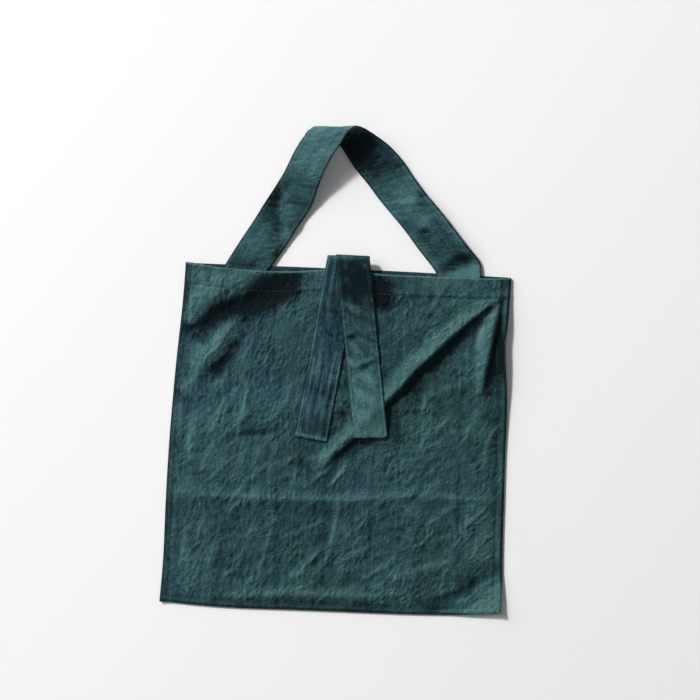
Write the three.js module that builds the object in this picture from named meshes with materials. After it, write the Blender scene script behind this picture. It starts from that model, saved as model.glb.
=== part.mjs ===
// A cloth tote bag laid on its back: two square panels sewn together on three sides, a hem turned
// inwards along each side of the mouth, one wide handle sewn inside the back hem and lying out from
// the mouth in a soft bend, and two ties sewn inside the front hem and folded over the front panel.
//
// Millimetres, +Z up. The origin is the middle of the back panel's underside, +Y points to the mouth.
import * as THREE from "three";
import { mergeVertices } from "three/addons/utils/BufferGeometryUtils.js";

// The cut of the bag.
const mouthWidth = 362;
const flare = 18; // the bottom is this much wider than the mouth
const height = 375;
const sideBow = 1.5; // how far each side bellies out halfway up
const bottomBow = 4; // how far the bottom edge bellies out at its middle
const frontDrop = 3.5; // the front panel's edge lies this far short of the back panel's

// Cloth and sewing.
const cloth = 0.6; // one layer of the panels
const band = 0.9; // handle and ties: cloth folded over itself, sewn and pressed
const seamWidth = 9;
const seamStack = 1.6; // the layers closed into a side or bottom seam
const hemWidth = 21;
const hemFold = 0.8; // the layer that a hem turns inwards
const rawEdge = 2; // the ends sewn behind a hem stop this far short of its stitches
const clearance = 0.3; // between pieces that lie on each other
const foldEase = 0.8; // a sewn end stops this far short of the line that its band turns on

// The bag as it lies: how high the mouth stands open, and how the front panel falls to its seams.
const mouthGap = 5;
const fallWidth = 36;

// Two folds of the front panel fan out from the right end of its hem. Each leans by so many degrees
// from straight down the panel, with a long flank on its left and a short one on its right, and
// opens to its full height and width some way below the hem.
const longFold = { lean: -46, length: 190, rise: 7.5, gentle: 26, steep: 8 };
const sideFold = { lean: -8, length: 125, rise: 4, gentle: 15, steep: 7 };
const foldOpening = 70;
const foldFade = 30; // a fold dies away over this length, and the panel is held flat under the ties
const foldStop = 5; // between the upper tie and the end of the long fold

// Handle. Its sewn ends lie flat for a little way outside the mouth, and it swings from there.
const handleWidth = 43;
const handleOut = 30; // from the mouth to the line that it swings on
const handleLeftIn = 89.8; // on that line, from the bag's left side at the mouth to the handle's middle
const handleRightIn = 85.2; // and from its right side
const handleTurn = 8; // degrees that the line of its bend is turned from the mouth's line
const handleReach = 114; // from the left end to the outside of the bend, square to the bend's line
const handleHeight = 30; // of the top of the bend
const bendRadius = 12; // over the top of the bend
const handleRise = 40; // the right end climbs from the table to the mouth over this length

// Ties. Both fold over the front panel along one line outside the mouth. A tie leans by so many
// degrees from straight down the panel.
const tieWidth = 36;
const tieFold = 15; // from the mouth to that line
const lowerTie = { x: -3.7, lean: -7.4, length: 207 };
const upperTie = { x: 4.9, lean: 8.6, length: 200 };

const bottomWidth = mouthWidth + flare;
const mouthY = height / 2;
const bottomY = -height / 2;
const frontY = mouthY - frontDrop;
const hemY = frontY - hemWidth; // the stitches of the front hem
const foldY = mouthY + tieFold;
const sewnIn = hemWidth - rawEdge;
const degree = Math.PI / 180;

// Heights of the layers at the mouth, from the table up. Each is a piece's underside.
const backHemZ = cloth + clearance;
const handleEndZ = backHemZ + hemFold + clearance;
const upperTieEndZ = handleEndZ + band + mouthGap;
const lowerTieEndZ = upperTieEndZ + band + clearance;
const frontHemZ = lowerTieEndZ + band + clearance;
const frontZ = frontHemZ + hemFold + clearance;
const lowerTieZ = frontZ + cloth + clearance;
const upperTieZ = lowerTieZ + band + clearance;
const seamZ = cloth + clearance;
const frontRimZ = seamZ + seamStack + clearance; // the front panel's underside over the seams

const dyed = (lightness) =>
  new THREE.MeshStandardMaterial({
    color: new THREE.Color().setHSL(0.515, 0.25, lightness),
    roughness: 0.8,
    metalness: 0,
  });
const panelCloth = () => dyed(0.25);
const bandCloth = () => dyed(0.28);
const seamCloth = () => dyed(0.2);

const part = new THREE.Group();

function add(name, geometry, material) {
  const mesh = new THREE.Mesh(geometry, material);
  mesh.name = name;
  part.add(mesh);
}

// A smooth step from 0 to 1, and the share of the way at which it reaches a value.
const ease = (share) => THREE.MathUtils.smoothstep(share, 0, 1);
const easedAt = (value) => 0.5 - Math.sin(Math.asin(1 - 2 * THREE.MathUtils.clamp(value, 0, 1)) / 3);

// Evenly spaced numbers from one end to the other, both included.
const steps = (from, to, count) =>
  Array.from({ length: count + 1 }, (_, i) => THREE.MathUtils.lerp(from, to, i / count));

// Half the bag's width at a height y, and the bottom edge's y at a place x.
function halfWidth(y) {
  const up = (y - bottomY) / height;
  return THREE.MathUtils.lerp(bottomWidth, mouthWidth, up) / 2 + sideBow * 4 * up * (1 - up);
}
function bottomEdge(x) {
  const across = (2 * x) / bottomWidth;
  return bottomY - bottomBow * (1 - across * across);
}

// A closed sheet between two grids of points. `under` and `over` give the point in column i and
// row j. Columns run to the right of the rows for someone who looks at the upper side.
function sheet(columns, rows, under, over) {
  const points = [];
  for (const side of [under, over]) {
    for (let j = 0; j < rows; j++) {
      for (let i = 0; i < columns; i++) points.push(side(i, j));
    }
  }
  const index = [];
  const low = (i, j) => j * columns + i;
  const high = (i, j) => low(i, j) + rows * columns;
  const quad = (a, b, c, d) => index.push(a, b, c, a, c, d);
  const right = columns - 1;
  const far = rows - 1;
  for (let j = 0; j < far; j++) {
    for (let i = 0; i < right; i++) {
      quad(high(i, j), high(i + 1, j), high(i + 1, j + 1), high(i, j + 1));
      quad(low(i, j), low(i, j + 1), low(i + 1, j + 1), low(i + 1, j));
    }
    quad(low(0, j + 1), low(0, j), high(0, j), high(0, j + 1));
    quad(low(right, j), low(right, j + 1), high(right, j + 1), high(right, j));
  }
  for (let i = 0; i < right; i++) {
    quad(low(i, 0), low(i + 1, 0), high(i + 1, 0), high(i, 0));
    quad(low(i + 1, far), low(i, far), high(i, far), high(i + 1, far));
  }
  const geometry = new THREE.BufferGeometry().setFromPoints(points);
  geometry.setIndex(index);
  geometry.computeVertexNormals();
  return geometry;
}

// A flat piece of cloth cut to an outline, with its underside at z.
function flatPiece(outline, z, thickness) {
  const shape = new THREE.Shape(outline);
  const geometry = new THREE.ExtrudeGeometry(shape, { depth: thickness, bevelEnabled: false });
  geometry.translate(0, 0, z);
  geometry.deleteAttribute("normal");
  geometry.deleteAttribute("uv");
  const merged = mergeVertices(geometry);
  merged.computeVertexNormals();
  return merged;
}

// The sewn end of a band that turns at (x, turnY). It leans out of the mouth, reaches to just short
// of the line that the band turns on, and runs straight in behind the hem of the panel at edgeY.
function sewnEnd(x, turnY, edgeY, lean, width, z) {
  const leaningHalf = width / 2 / Math.cos(lean);
  const middle = (y) => x + (y - turnY) * Math.tan(lean);
  const cut = (y, half, side) => new THREE.Vector2(middle(Math.max(y, edgeY)) + side * half, y);
  const levels = [
    [edgeY - sewnIn, width / 2],
    [edgeY, leaningHalf],
    [turnY - foldEase, leaningHalf],
  ];
  const right = levels.map(([y, half]) => cut(y, half, 1));
  const left = levels.map(([y, half]) => cut(y, half, -1)).reverse();
  return flatPiece([...right, ...left], z, band);
}

// The two panels.

const sideSteps = 10;
const bottomSteps = 12;

function backPanel() {
  const ys = steps(bottomEdge(bottomWidth / 2), mouthY, sideSteps);
  const right = ys.map((y) => new THREE.Vector2(halfWidth(y), y));
  const left = ys.map((y) => new THREE.Vector2(-halfWidth(y), y)).reverse();
  const between = steps(-bottomWidth / 2, bottomWidth / 2, bottomSteps).slice(1, -1);
  const bottom = between.map((x) => new THREE.Vector2(x, bottomEdge(x)));
  return flatPiece([...right, ...left, ...bottom], 0, cloth);
}

// Where the folds start, and the y of the long fold's crest at a distance from the panel's right side.
const foldStart = { x: halfWidth(hemY) - seamWidth, y: hemY };
function crestY(fromSide) {
  let y = hemY;
  for (let i = 0; i < 4; i++) {
    y = foldStart.y + (foldStart.x - halfWidth(y) + fromSide) / Math.tan(longFold.lean * degree);
  }
  return y;
}

// The distance from the right side at which the folds have died away beside the upper tie.
function besideTie() {
  const lean = upperTie.lean * degree;
  let fromSide = halfWidth(0);
  for (let i = 0; i < 4; i++) {
    const y = crestY(fromSide);
    const edge = upperTie.x + (foldY - y) * Math.tan(lean) + tieWidth / 2 / Math.cos(lean);
    fromSide = halfWidth(y) - edge - foldStop;
  }
  return fromSide;
}
const foldsEnd = besideTie();

function foldLift(fold, x, y) {
  const lean = fold.lean * degree;
  const along = (x - foldStart.x) * Math.sin(lean) - (y - foldStart.y) * Math.cos(lean);
  const off = (x - foldStart.x) * Math.cos(lean) + (y - foldStart.y) * Math.sin(lean);
  const open = ease(along / foldOpening);
  const flank = (off > 0 ? fold.steep : fold.gentle) * THREE.MathUtils.lerp(0.3, 1, open);
  const ending = ease((fold.length - along) / foldFade);
  return fold.rise * open * ending * (1 - ease(Math.abs(off) / flank));
}

// The front panel's underside lies on the seams at its rim and rises smoothly inside them.
function frontUnder(x, y) {
  const fromSide = halfWidth(y) - seamWidth - Math.abs(x);
  const fromBottom = y - bottomEdge(x) - seamWidth;
  const risen = ease(fromSide / fallWidth) * ease(fromBottom / fallWidth);
  const rightOfTies = ease((x - halfWidth(y) + foldsEnd) / foldFade);
  const folds = foldLift(longFold, x, y) + foldLift(sideFold, x, y);
  return THREE.MathUtils.lerp(frontRimZ, frontZ, risen) + rightOfTies * folds;
}

// The grid's columns follow the panel's sides and its rows the bottom edge, at these distances from
// them. Beside the ties a column and a row cross at each step along the long fold's crest.
const fallSteps = 6;
const foldSteps = 7;
const flatSteps = 3;
const flatFrom = seamWidth + fallWidth;
const edgeLines = [0, ...steps(seamWidth, flatFrom, fallSteps)];
const rightLines = [...edgeLines, ...steps(flatFrom, foldsEnd, foldSteps).slice(1)];
const crestLines = rightLines.slice(1).map(crestY).reverse();

function frontPanel() {
  const across = (y) => [
    ...edgeLines.map((d) => d - halfWidth(y)),
    ...steps(flatFrom - halfWidth(y), halfWidth(y) - foldsEnd, flatSteps).slice(1, -1),
    ...rightLines.map((d) => halfWidth(y) - d).reverse(),
  ];
  const up = (x) => [
    ...edgeLines.map((d) => bottomEdge(x) + d),
    ...steps(bottomEdge(x) + flatFrom, crestLines[0], flatSteps).slice(1, -1),
    ...crestLines,
    frontY,
  ];
  const point = (lift) => (i, j) => {
    const y = up(across(bottomY)[i])[j];
    const x = across(y)[i];
    return new THREE.Vector3(x, y, frontUnder(x, y) + lift);
  };
  return sheet(across(bottomY).length, up(0).length, point(0), point(cloth));
}

add("back_panel", backPanel(), panelCloth());
add("front_panel", frontPanel(), panelCloth());

// Seams: the strip of turned-in cloth that each closed seam leaves between the panels. The bottom
// strip stops short of the side strips.

function sideSeam(side) {
  const ys = steps(bottomEdge(bottomWidth / 2 - seamWidth), frontY, sideSteps);
  const edge = ys.map((y) => new THREE.Vector2(side * halfWidth(y), y));
  const inner = ys.map((y) => new THREE.Vector2(side * (halfWidth(y) - seamWidth), y));
  return flatPiece([...edge, ...inner.reverse()], seamZ, seamStack);
}

function bottomSeam() {
  const end = halfWidth(bottomY + seamWidth) - seamWidth - foldEase;
  const xs = steps(-end, end, bottomSteps);
  const edge = xs.map((x) => new THREE.Vector2(x, bottomEdge(x)));
  const inner = xs.map((x) => new THREE.Vector2(x, bottomEdge(x) + seamWidth));
  return flatPiece([...edge, ...inner.reverse()], seamZ, seamStack);
}

add("left_side_seam", sideSeam(-1), seamCloth());
add("right_side_seam", sideSeam(1), seamCloth());
add("bottom_seam", bottomSeam(), seamCloth());

// Hems: the cloth turned inwards along each panel's edge of the mouth.

function backHem() {
  const inside = (y) => halfWidth(y) - seamWidth - clearance;
  const ys = [mouthY - hemWidth, mouthY];
  const right = ys.map((y) => new THREE.Vector2(inside(y), y));
  const left = ys.map((y) => new THREE.Vector2(-inside(y), y)).reverse();
  return flatPiece([...right, ...left], backHemZ, hemFold);
}

// The front hem hangs under the front panel, and starts where the panel has risen enough to hold
// it clear of the back hem.
function frontHem() {
  const hang = hemFold + clearance;
  const lowest = backHemZ + hemFold + clearance + hang;
  const start = fallWidth * easedAt((lowest - frontRimZ) / (frontZ - frontRimZ));
  const lines = steps(seamWidth + clearance + start, flatFrom, fallSteps - 1);
  const across = (y) => [
    ...lines.map((d) => d - halfWidth(y)),
    ...lines.map((d) => halfWidth(y) - d).reverse(),
  ];
  const up = [hemY, frontY];
  const point = (lift) => (i, j) => {
    const x = across(up[j])[i];
    return new THREE.Vector3(x, up[j], frontUnder(x, up[j]) - hang + lift);
  };
  return sheet(across(frontY).length, up.length, point(0), point(hemFold));
}

add("back_hem", backHem(), panelCloth());
add("front_hem", frontHem(), panelCloth());

// Handle: a straight flat band laid over a bend. Seen from above, the bend's line is turned from
// the mouth's. Seen along that line, the band follows one profile: it leaves its left end, rises,
// turns over the bend and comes back along the table to its right end.

const swingY = mouthY + handleOut;
const handleLeftX = handleLeftIn - mouthWidth / 2;
const handleRightX = mouthWidth / 2 - handleRightIn;
const handleZ = handleEndZ + band / 2; // the band's middle where it swings
const tableZ = clearance + band / 2; // and where it lies on the table

const bendAngle = handleTurn * degree;
const alongBend = new THREE.Vector2(Math.cos(bendAngle), Math.sin(bendAngle));
const acrossBend = new THREE.Vector2(-alongBend.y, alongBend.x);
const leftFoot = new THREE.Vector2(handleLeftX, swingY);
const footToFoot = new THREE.Vector2(handleRightX - handleLeftX, 0);
const rightAlong = footToFoot.dot(alongBend);
const rightAcross = footToFoot.dot(acrossBend);

function handleProfile() {
  const crown = handleReach - bendRadius;
  const backOfBend = handleHeight - bendRadius;
  const climb = rightAcross + handleRise / 2;
  const path = new THREE.Path();
  path.moveTo(0, handleZ);
  path.bezierCurveTo(crown * 0.5, handleZ, crown * 0.6, handleHeight, crown, handleHeight);
  path.quadraticCurveTo(handleReach, handleHeight, handleReach, backOfBend);
  path.bezierCurveTo(handleReach, tableZ, crown * 0.9, tableZ, crown * 0.7, tableZ);
  path.lineTo(rightAcross + handleRise, tableZ);
  path.bezierCurveTo(climb, tableZ, climb, handleZ, rightAcross, handleZ);
  return path;
}
const profile = handleProfile();
const profileLength = profile.getLength();

// The band crosses the bend's line at the angle that brings its right end back to the mouth.
const crossing = Math.atan2(profileLength, rightAlong);
const handleLength = profileLength / Math.sin(crossing);
const leftLean = Math.PI / 2 - crossing - bendAngle; // of each end from straight out of the mouth
const rightLean = crossing - bendAngle - Math.PI / 2;

// A point in the middle of the band's thickness, `along` it and `across` from its middle line, and
// the direction that the band's upper side faces there.
function handleAt(along, across) {
  const square = along * Math.sin(crossing) - across * Math.cos(crossing);
  const sideways = along * Math.cos(crossing) + across * Math.sin(crossing);
  const travelled = THREE.MathUtils.clamp(square, 0, profileLength);
  const at = profile.getPointAt(travelled / profileLength);
  const tangent = profile.getTangentAt(travelled / profileLength);
  const out = at.x + tangent.x * (square - travelled);
  const plan = leftFoot.clone().addScaledVector(alongBend, sideways).addScaledVector(acrossBend, out);
  return {
    point: new THREE.Vector3(plan.x, plan.y, at.y),
    facing: new THREE.Vector3(-tangent.y * acrossBend.x, -tangent.y * acrossBend.y, tangent.x),
  };
}

// Both ends of the handle are cut along the line that it swings on.
function handle() {
  const alongSteps = 56;
  const acrossSteps = 4;
  const point = (offset) => (i, j) => {
    const across = THREE.MathUtils.lerp(-handleWidth / 2, handleWidth / 2, i / acrossSteps);
    const from = across * Math.tan(leftLean);
    const to = handleLength - across * Math.tan(rightLean);
    const at = handleAt(THREE.MathUtils.lerp(from, to, j / alongSteps), across);
    return at.point.addScaledVector(at.facing, offset);
  };
  return sheet(acrossSteps + 1, alongSteps + 1, point(-band / 2), point(band / 2));
}

const handleEnd = (x, lean) => sewnEnd(x, swingY, mouthY, lean, handleWidth, handleEndZ);

add("handle", handle(), bandCloth());
add("handle_left_end", handleEnd(handleLeftX, leftLean), bandCloth());
add("handle_right_end", handleEnd(handleRightX, rightLean), bandCloth());

// Ties: each has an end sewn in behind the front hem and a tail folded over the front panel.

function tieTail(tie, z) {
  const lean = tie.lean * degree;
  const down = new THREE.Vector2(Math.sin(lean), -Math.cos(lean));
  const across = new THREE.Vector2(-down.y, down.x).multiplyScalar(tieWidth / 2);
  const fold = new THREE.Vector2(tie.x, foldY);
  const foldHalf = new THREE.Vector2(tieWidth / 2 / Math.cos(lean), 0);
  const tip = fold.clone().addScaledVector(down, tie.length);
  const outline = [
    fold.clone().sub(foldHalf),
    tip.clone().sub(across),
    tip.clone().add(across),
    fold.clone().add(foldHalf),
  ];
  return flatPiece(outline, z, band);
}

// Folded along the fold's line, a tail that leans to one side comes from an end that leans to it too.
const tieEnd = (tie, z) => sewnEnd(tie.x, foldY, frontY, tie.lean * degree, tieWidth, z);

add("lower_tie", tieTail(lowerTie, lowerTieZ), bandCloth());
add("upper_tie", tieTail(upperTie, upperTieZ), bandCloth());
add("lower_tie_end", tieEnd(lowerTie, lowerTieEndZ), bandCloth());
add("upper_tie_end", tieEnd(upperTie, upperTieEndZ), bandCloth());

export default part;
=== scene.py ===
import math

import bpy
import numpy as np
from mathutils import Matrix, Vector
from mathutils.kdtree import KDTree


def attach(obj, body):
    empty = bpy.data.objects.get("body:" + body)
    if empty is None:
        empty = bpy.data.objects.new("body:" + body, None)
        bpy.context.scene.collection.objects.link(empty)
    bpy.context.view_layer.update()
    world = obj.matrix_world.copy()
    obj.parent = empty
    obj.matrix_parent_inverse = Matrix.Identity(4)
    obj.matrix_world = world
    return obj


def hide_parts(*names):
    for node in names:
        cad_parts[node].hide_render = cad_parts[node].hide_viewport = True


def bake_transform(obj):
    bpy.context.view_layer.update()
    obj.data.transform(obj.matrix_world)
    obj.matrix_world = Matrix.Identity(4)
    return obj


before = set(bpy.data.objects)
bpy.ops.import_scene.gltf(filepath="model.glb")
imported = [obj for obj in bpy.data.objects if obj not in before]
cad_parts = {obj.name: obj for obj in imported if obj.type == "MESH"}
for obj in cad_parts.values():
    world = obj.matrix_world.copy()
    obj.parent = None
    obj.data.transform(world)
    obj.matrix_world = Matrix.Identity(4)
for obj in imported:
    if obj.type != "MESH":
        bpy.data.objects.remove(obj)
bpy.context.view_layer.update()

# Lengths are in millimetres here, and become metres where a mesh is made.
mm = 0.001


def say(text):
    print("scene:", text, flush=True)


def ease(share):
    share = np.clip(share, 0, 1)
    return share * share * (3 - 2 * share)


def blendTo(low, high, share):
    return low + (high - low) * share


def smoothLine(keys, values, at):
    # a smooth curve through the values that are given at the keys
    keys, values, at = (np.asarray(x, float) for x in (keys, values, at))
    slope = np.gradient(values, keys, axis=0)
    i = np.clip(np.searchsorted(keys, at) - 1, 0, len(keys) - 2)
    span = keys[i + 1] - keys[i]
    t = np.clip((at - keys[i]) / span, 0, 1)
    if values.ndim > 1:
        span, t = span[..., None], t[..., None]
    return (
        (2 * t**3 - 3 * t**2 + 1) * values[i]
        + (t**3 - 2 * t**2 + t) * span * slope[i]
        + (3 * t**2 - 2 * t**3) * values[i + 1]
        + (t**3 - t**2) * span * slope[i + 1]
    )


def bell(off, width):
    # 1 on a line, and dying away on both sides of it
    return np.exp(-((off / width) ** 2))


def spot(dx, rx, dy, ry):
    # the same round a place, with a reach each way
    return np.exp(-((dx / rx) ** 2) - (dy / ry) ** 2)


def runAlong(places):
    # how far along a line of places each one lies
    steps = np.linalg.norm(np.diff(places, axis=0), axis=1)
    return np.concatenate([[0], np.cumsum(steps)])


def normalsOf(surface):
    # unit normals of a grid of points
    normal = np.cross(np.gradient(surface, axis=1), np.gradient(surface, axis=0))
    return normal / np.linalg.norm(normal, axis=2)[..., None]


def sampleGrid(field, column, row):
    # the value between four neighbours, at columns and rows that aren't whole
    i = np.minimum(column.astype(int), field.shape[1] - 2)
    j = np.minimum(row.astype(int), field.shape[0] - 2)
    column, row = column - i, row - j
    low = blendTo(field[j, i], field[j, i + 1], column)
    high = blendTo(field[j + 1, i], field[j + 1, i + 1], column)
    return blendTo(low, high, row)


def shifted(field, reach, axis):
    # the field moved by up to so many squares either way, with its edges held
    wide = np.pad(field, [(reach, reach) if a == axis else (0, 0) for a in (0, 1)], mode="edge")
    return [np.take(wide, np.arange(k, k + field.shape[axis]), axis=axis) for k in range(2 * reach + 1)]


def blur(field, radius, axes=(0, 1)):
    # a soft average over so many squares each way
    reach = 3 * radius
    share = np.exp(-0.5 * (np.arange(-reach, reach + 1) / radius) ** 2)
    share /= share.sum()
    for axis in axes:
        field = sum(weight * moved for weight, moved in zip(share, shifted(field, reach, axis)))
    return field


def lowest(field, reach):
    # the lowest value within so many squares each way
    for axis in (0, 1):
        field = np.min(shifted(field, reach, axis), axis=0)
    return field


def wrinkleField(shape, step, wavelength, direction, stretch, seed, peaked=0.0, creased=False):
    # A random field with one wavelength, longer along its direction than across it. Where it is
    # peaked, its crests are narrower than its hollows. Creased cloth lies in facets between lines.
    noise = np.random.default_rng(seed).standard_normal(shape)
    fy = np.fft.fftfreq(shape[0], step)[:, None]
    fx = np.fft.fftfreq(shape[1], step)[None, :]
    turn = math.radians(direction)
    along = (fx * math.cos(turn) + fy * math.sin(turn)) * stretch
    across = fy * math.cos(turn) - fx * math.sin(turn)
    spread = 0.45  # of the wavelengths, as a share
    kept = bell(np.hypot(along, across) * wavelength - 1, spread)
    field = np.real(np.fft.ifft2(np.fft.fft2(noise) * kept))
    field /= field.std()
    if creased:
        field = 0.8 - np.abs(field)
        return field / field.std()
    return field + peaked * (np.minimum(field * field, 4) - 1)


def rumple(shape, step, kinds, relief=0.0):
    # adds random fields, each a height and what wrinkleField takes
    return sum((height * wrinkleField(shape, step, *kind) for height, *kind in kinds), relief)


def paintShading(shades, v, u, wearAndShading):
    # adds painted shade and painted light on a band: place, column, reach along and across, amount
    return sum((amount * spot(v - place, long, u - column, wide) for place, column, long, wide, amount in shades),
               wearAndShading)


def foldHeight(x, y, line, height, left, right, crisp=0.2):
    # One fold along a line of places: its crest dies away at both ends and over its two flanks.
    # The smaller crisp is, the sharper the crest.
    places = np.array(line, float)
    lengths = np.hypot(*np.diff(places, axis=0).T)
    start = np.concatenate([[0], np.cumsum(lengths)])
    total = start[-1]
    nearest = np.full(x.shape, 1e9)
    side = np.zeros(x.shape)
    share = np.zeros(x.shape)
    for k, (a, b) in enumerate(zip(places[:-1], places[1:])):
        d = (b - a) / lengths[k]
        t = (x - a[0]) * d[0] + (y - a[1]) * d[1]
        inside = np.clip(t, 0, lengths[k])
        off = (y - a[1]) * d[0] - (x - a[0]) * d[1]
        away = np.hypot(x - a[0] - inside * d[0], y - a[1] - inside * d[1])
        closer = away < nearest
        nearest = np.where(closer, away, nearest)
        side = np.where(closer, off, side)
        share = np.where(closer, (start[k] + inside) / total, share)
    flank = np.where(side > 0, left, right)
    ends = np.sin(np.pi * np.clip(share, 0, 1)) ** 0.55
    crest = crisp * flank
    return height * ends * (np.exp(-(np.sqrt(nearest**2 + crest**2) - crest) / (0.55 * flank)))


def addObject(name, data):
    made = bpy.data.objects.new(name, data)
    bpy.context.scene.collection.objects.link(made)
    return made


def writeFlat(mesh, flat):
    # where each vertex lies on the flat cloth, in metres, for the weave
    corners = np.zeros(len(mesh.loops), np.int32)
    mesh.loops.foreach_get("vertex_index", corners)
    layer = mesh.uv_layers.get("cloth") or mesh.uv_layers.new(name="cloth")
    layer.data.foreach_set("uv", flat[corners].astype(np.float32).ravel())


def makePiece(name, points, faces, flat, wearAndShading, material):
    mesh = bpy.data.meshes.new(name)
    mesh.from_pydata((points * mm).tolist(), [], faces)
    writeFlat(mesh, flat * mm)
    # the wear, and the painted light and shade, at each point
    mesh.attributes.new("wearAndShading", "FLOAT", "POINT").data.foreach_set("value", wearAndShading.astype(np.float32).ravel())
    mesh.shade_smooth()
    mesh.materials.append(material)
    return addObject(name, mesh)


def shell(name, top, under, flat, material, wearAndShading=None, step=1):
    # A closed sheet between two grids of points. The lower grid may be coarser: one of its squares
    # covers step squares of the upper one. Rows run to the left of the columns, seen from the top.
    high = np.arange(top.shape[0] * top.shape[1]).reshape(top.shape[:2])
    low = np.arange(under.shape[0] * under.shape[1]).reshape(under.shape[:2]) + high.size

    def quads(g, *order):
        corners = (g[:-1, :-1], g[:-1, 1:], g[1:, 1:], g[1:, :-1])
        return np.stack([corners[k].ravel() for k in order], 1).tolist()

    def rim(g):
        return np.concatenate([g[0, :-1], g[:-1, -1], g[-1, :0:-1], g[:0:-1, 0]]).tolist()

    faces = quads(high, 0, 1, 2, 3) + quads(low, 0, 3, 2, 1)
    upper, lower = rim(high), rim(low)
    for k, a in enumerate(lower):
        b = lower[(k + 1) % len(lower)]
        run = [upper[(k * step + m) % len(upper)] for m in range(step + 1)]
        if step == 1:
            faces.append([a, b, run[1], run[0]])
            continue
        faces += [[a, run[m + 1], run[m]] for m in range(step)]
        faces.append([a, b, run[step]])
    wearAndShading = np.zeros(high.shape) if wearAndShading is None else wearAndShading
    points = np.concatenate([top.reshape(-1, 3), under.reshape(-1, 3)])
    flat, wearAndShading = (np.concatenate([field.reshape(high.size, -1), field[::step, ::step].reshape(low.size, -1)])
                  for field in (flat, wearAndShading))
    return makePiece(name, points, faces, flat, wearAndShading, material)


def wearAndShadingOf(height, step, fine=1, broad=3):
    # above 0 on crests, where the cloth is worn, and below 0 in hollows, as painted shade, from how the surface
    # curves
    soft = blur(height, fine)
    curve = (soft - blur(soft, broad)) / step
    return np.clip(curve * 1.6, -1, 1)


wearAndShadingLimits = (-1.6, 1.4)


# Shader maths written as expressions.
class Wire:
    def __init__(self, tree, socket):
        self.tree = tree
        self.socket = socket

    def maths(self, operation, *others, flip=False):
        node = self.tree.nodes.new("ShaderNodeMath")
        node.operation = operation
        values = (*others, self) if flip else (self, *others)
        for slot, value in zip(node.inputs, values):
            plug(self.tree, slot, value)
        return Wire(self.tree, node.outputs[0])

    def __add__(self, other):
        return self.maths("ADD", other)

    __radd__ = __add__

    def __mul__(self, other):
        return self.maths("MULTIPLY", other)

    __rmul__ = __mul__

    def __sub__(self, other):
        return self.maths("SUBTRACT", other)

    def __rsub__(self, other):
        return self.maths("SUBTRACT", other, flip=True)


def plug(tree, slot, value):
    if isinstance(value, Wire):
        tree.links.new(value.socket, slot)
    else:
        slot.default_value = value


class Nodes:
    # one node tree, with one method for every node that isn't plain maths
    def __init__(self, tree):
        self.tree = tree
        tree.nodes.clear()

    def node(self, kind, inputs=None, output=0, **settings):
        made = self.tree.nodes.new(kind)
        for key, value in settings.items():
            setattr(made, key, value)
        for key, value in (inputs or {}).items():
            plug(self.tree, made.inputs[key], value)
        return Wire(self.tree, made.outputs[output]) if len(made.outputs) else None

    def noise(self, vector, scale, detail, roughness):
        return self.node("ShaderNodeTexNoise",
                         {"Vector": vector, "Scale": scale, "Detail": detail, "Roughness": roughness})

    def stretch(self, vector, x, y):
        return self.node("ShaderNodeMapping", {"Vector": vector, "Scale": (x, y, 1.0)})

    def grain(self, vector, degrees, longer):
        # makes what follows longer in one direction
        return self.node("ShaderNodeMapping", {"Vector": vector, "Rotation": (0, 0, math.radians(degrees)),
                                               "Scale": (longer, 1.0, 1.0)}, vector_type="TEXTURE")

    def limits(self, value, low, high):
        return self.node("ShaderNodeMapRange", {"Value": value, "From Min": low, "From Max": high}, clamp=True)

    def mix(self, share, a, b):
        return self.node("ShaderNodeMix", {0: share, 6: a, 7: b}, 2, data_type="RGBA")

    def bump(self, strength, distance, height, **others):
        return self.node("ShaderNodeBump", {"Strength": strength, "Distance": distance, "Height": height, **others})


# What all the cloth has in common. Scales are per metre, bumps are a strength and a depth in metres.
cloth = {
    "warpScale": (620.0, 9.0), "weftScale": (11.0, 560.0), "bandScale": (125.0, 4.0),
    "cloudScale": 17.0, "mottleScale": 95.0, "fleckScale": 420.0,
    "steep": (66.0, 2.3, 330.0), "slant": (28.0, 2.0, 380.0),  # facets: direction, stretch, scale
    "rumpleScale": 640.0, "crumpledPatches": 34.0, "bluePatches": 7.5, "bluerToLeft": 0.6,
    "bluer": (0.97, 0.97, 1.10),
    # how much each thing changes the tone, and which tones take the deep colour, the pale colour of wear and painted
    # light, and blue
    "clouds": 1.5, "mottle": 0.5, "yarns": 1.5, "bands": 1.6, "wearAndLight": 0.46, "weave": 0.10, "flecks": 0.7,
    "warpAndWeft": (0.72, 0.28), "border": (9, 30),  # how crooked the borders of the deeper end and of the painted light at the other end are, in millimetres
    "deepTones": (0.0, 0.52), "wearAndLightTones": (0.50, 1.12), "blueTones": (0.40, 0.66),
    # crumples: lines between facets, the facets and the rumples, where they are strong, and their least share
    "facetLines": (0.9, 0.8), "facets": 0.40, "rumples": 0.30, "crumpled": (0.38, 0.62), "leastCrumpled": 0.25,
    "weaveBump": (0.55, 0.00016), "crumpleBump": (0.8, 0.0034),
    "roughness": 0.80,
    "surface": {"IOR": 1.45, "Specular IOR Level": 0.11, "Sheen Weight": 0.045, "Sheen Roughness": 0.45,
                "Sheen Tint": (0.62, 0.86, 0.86, 1.0)},
}


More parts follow.
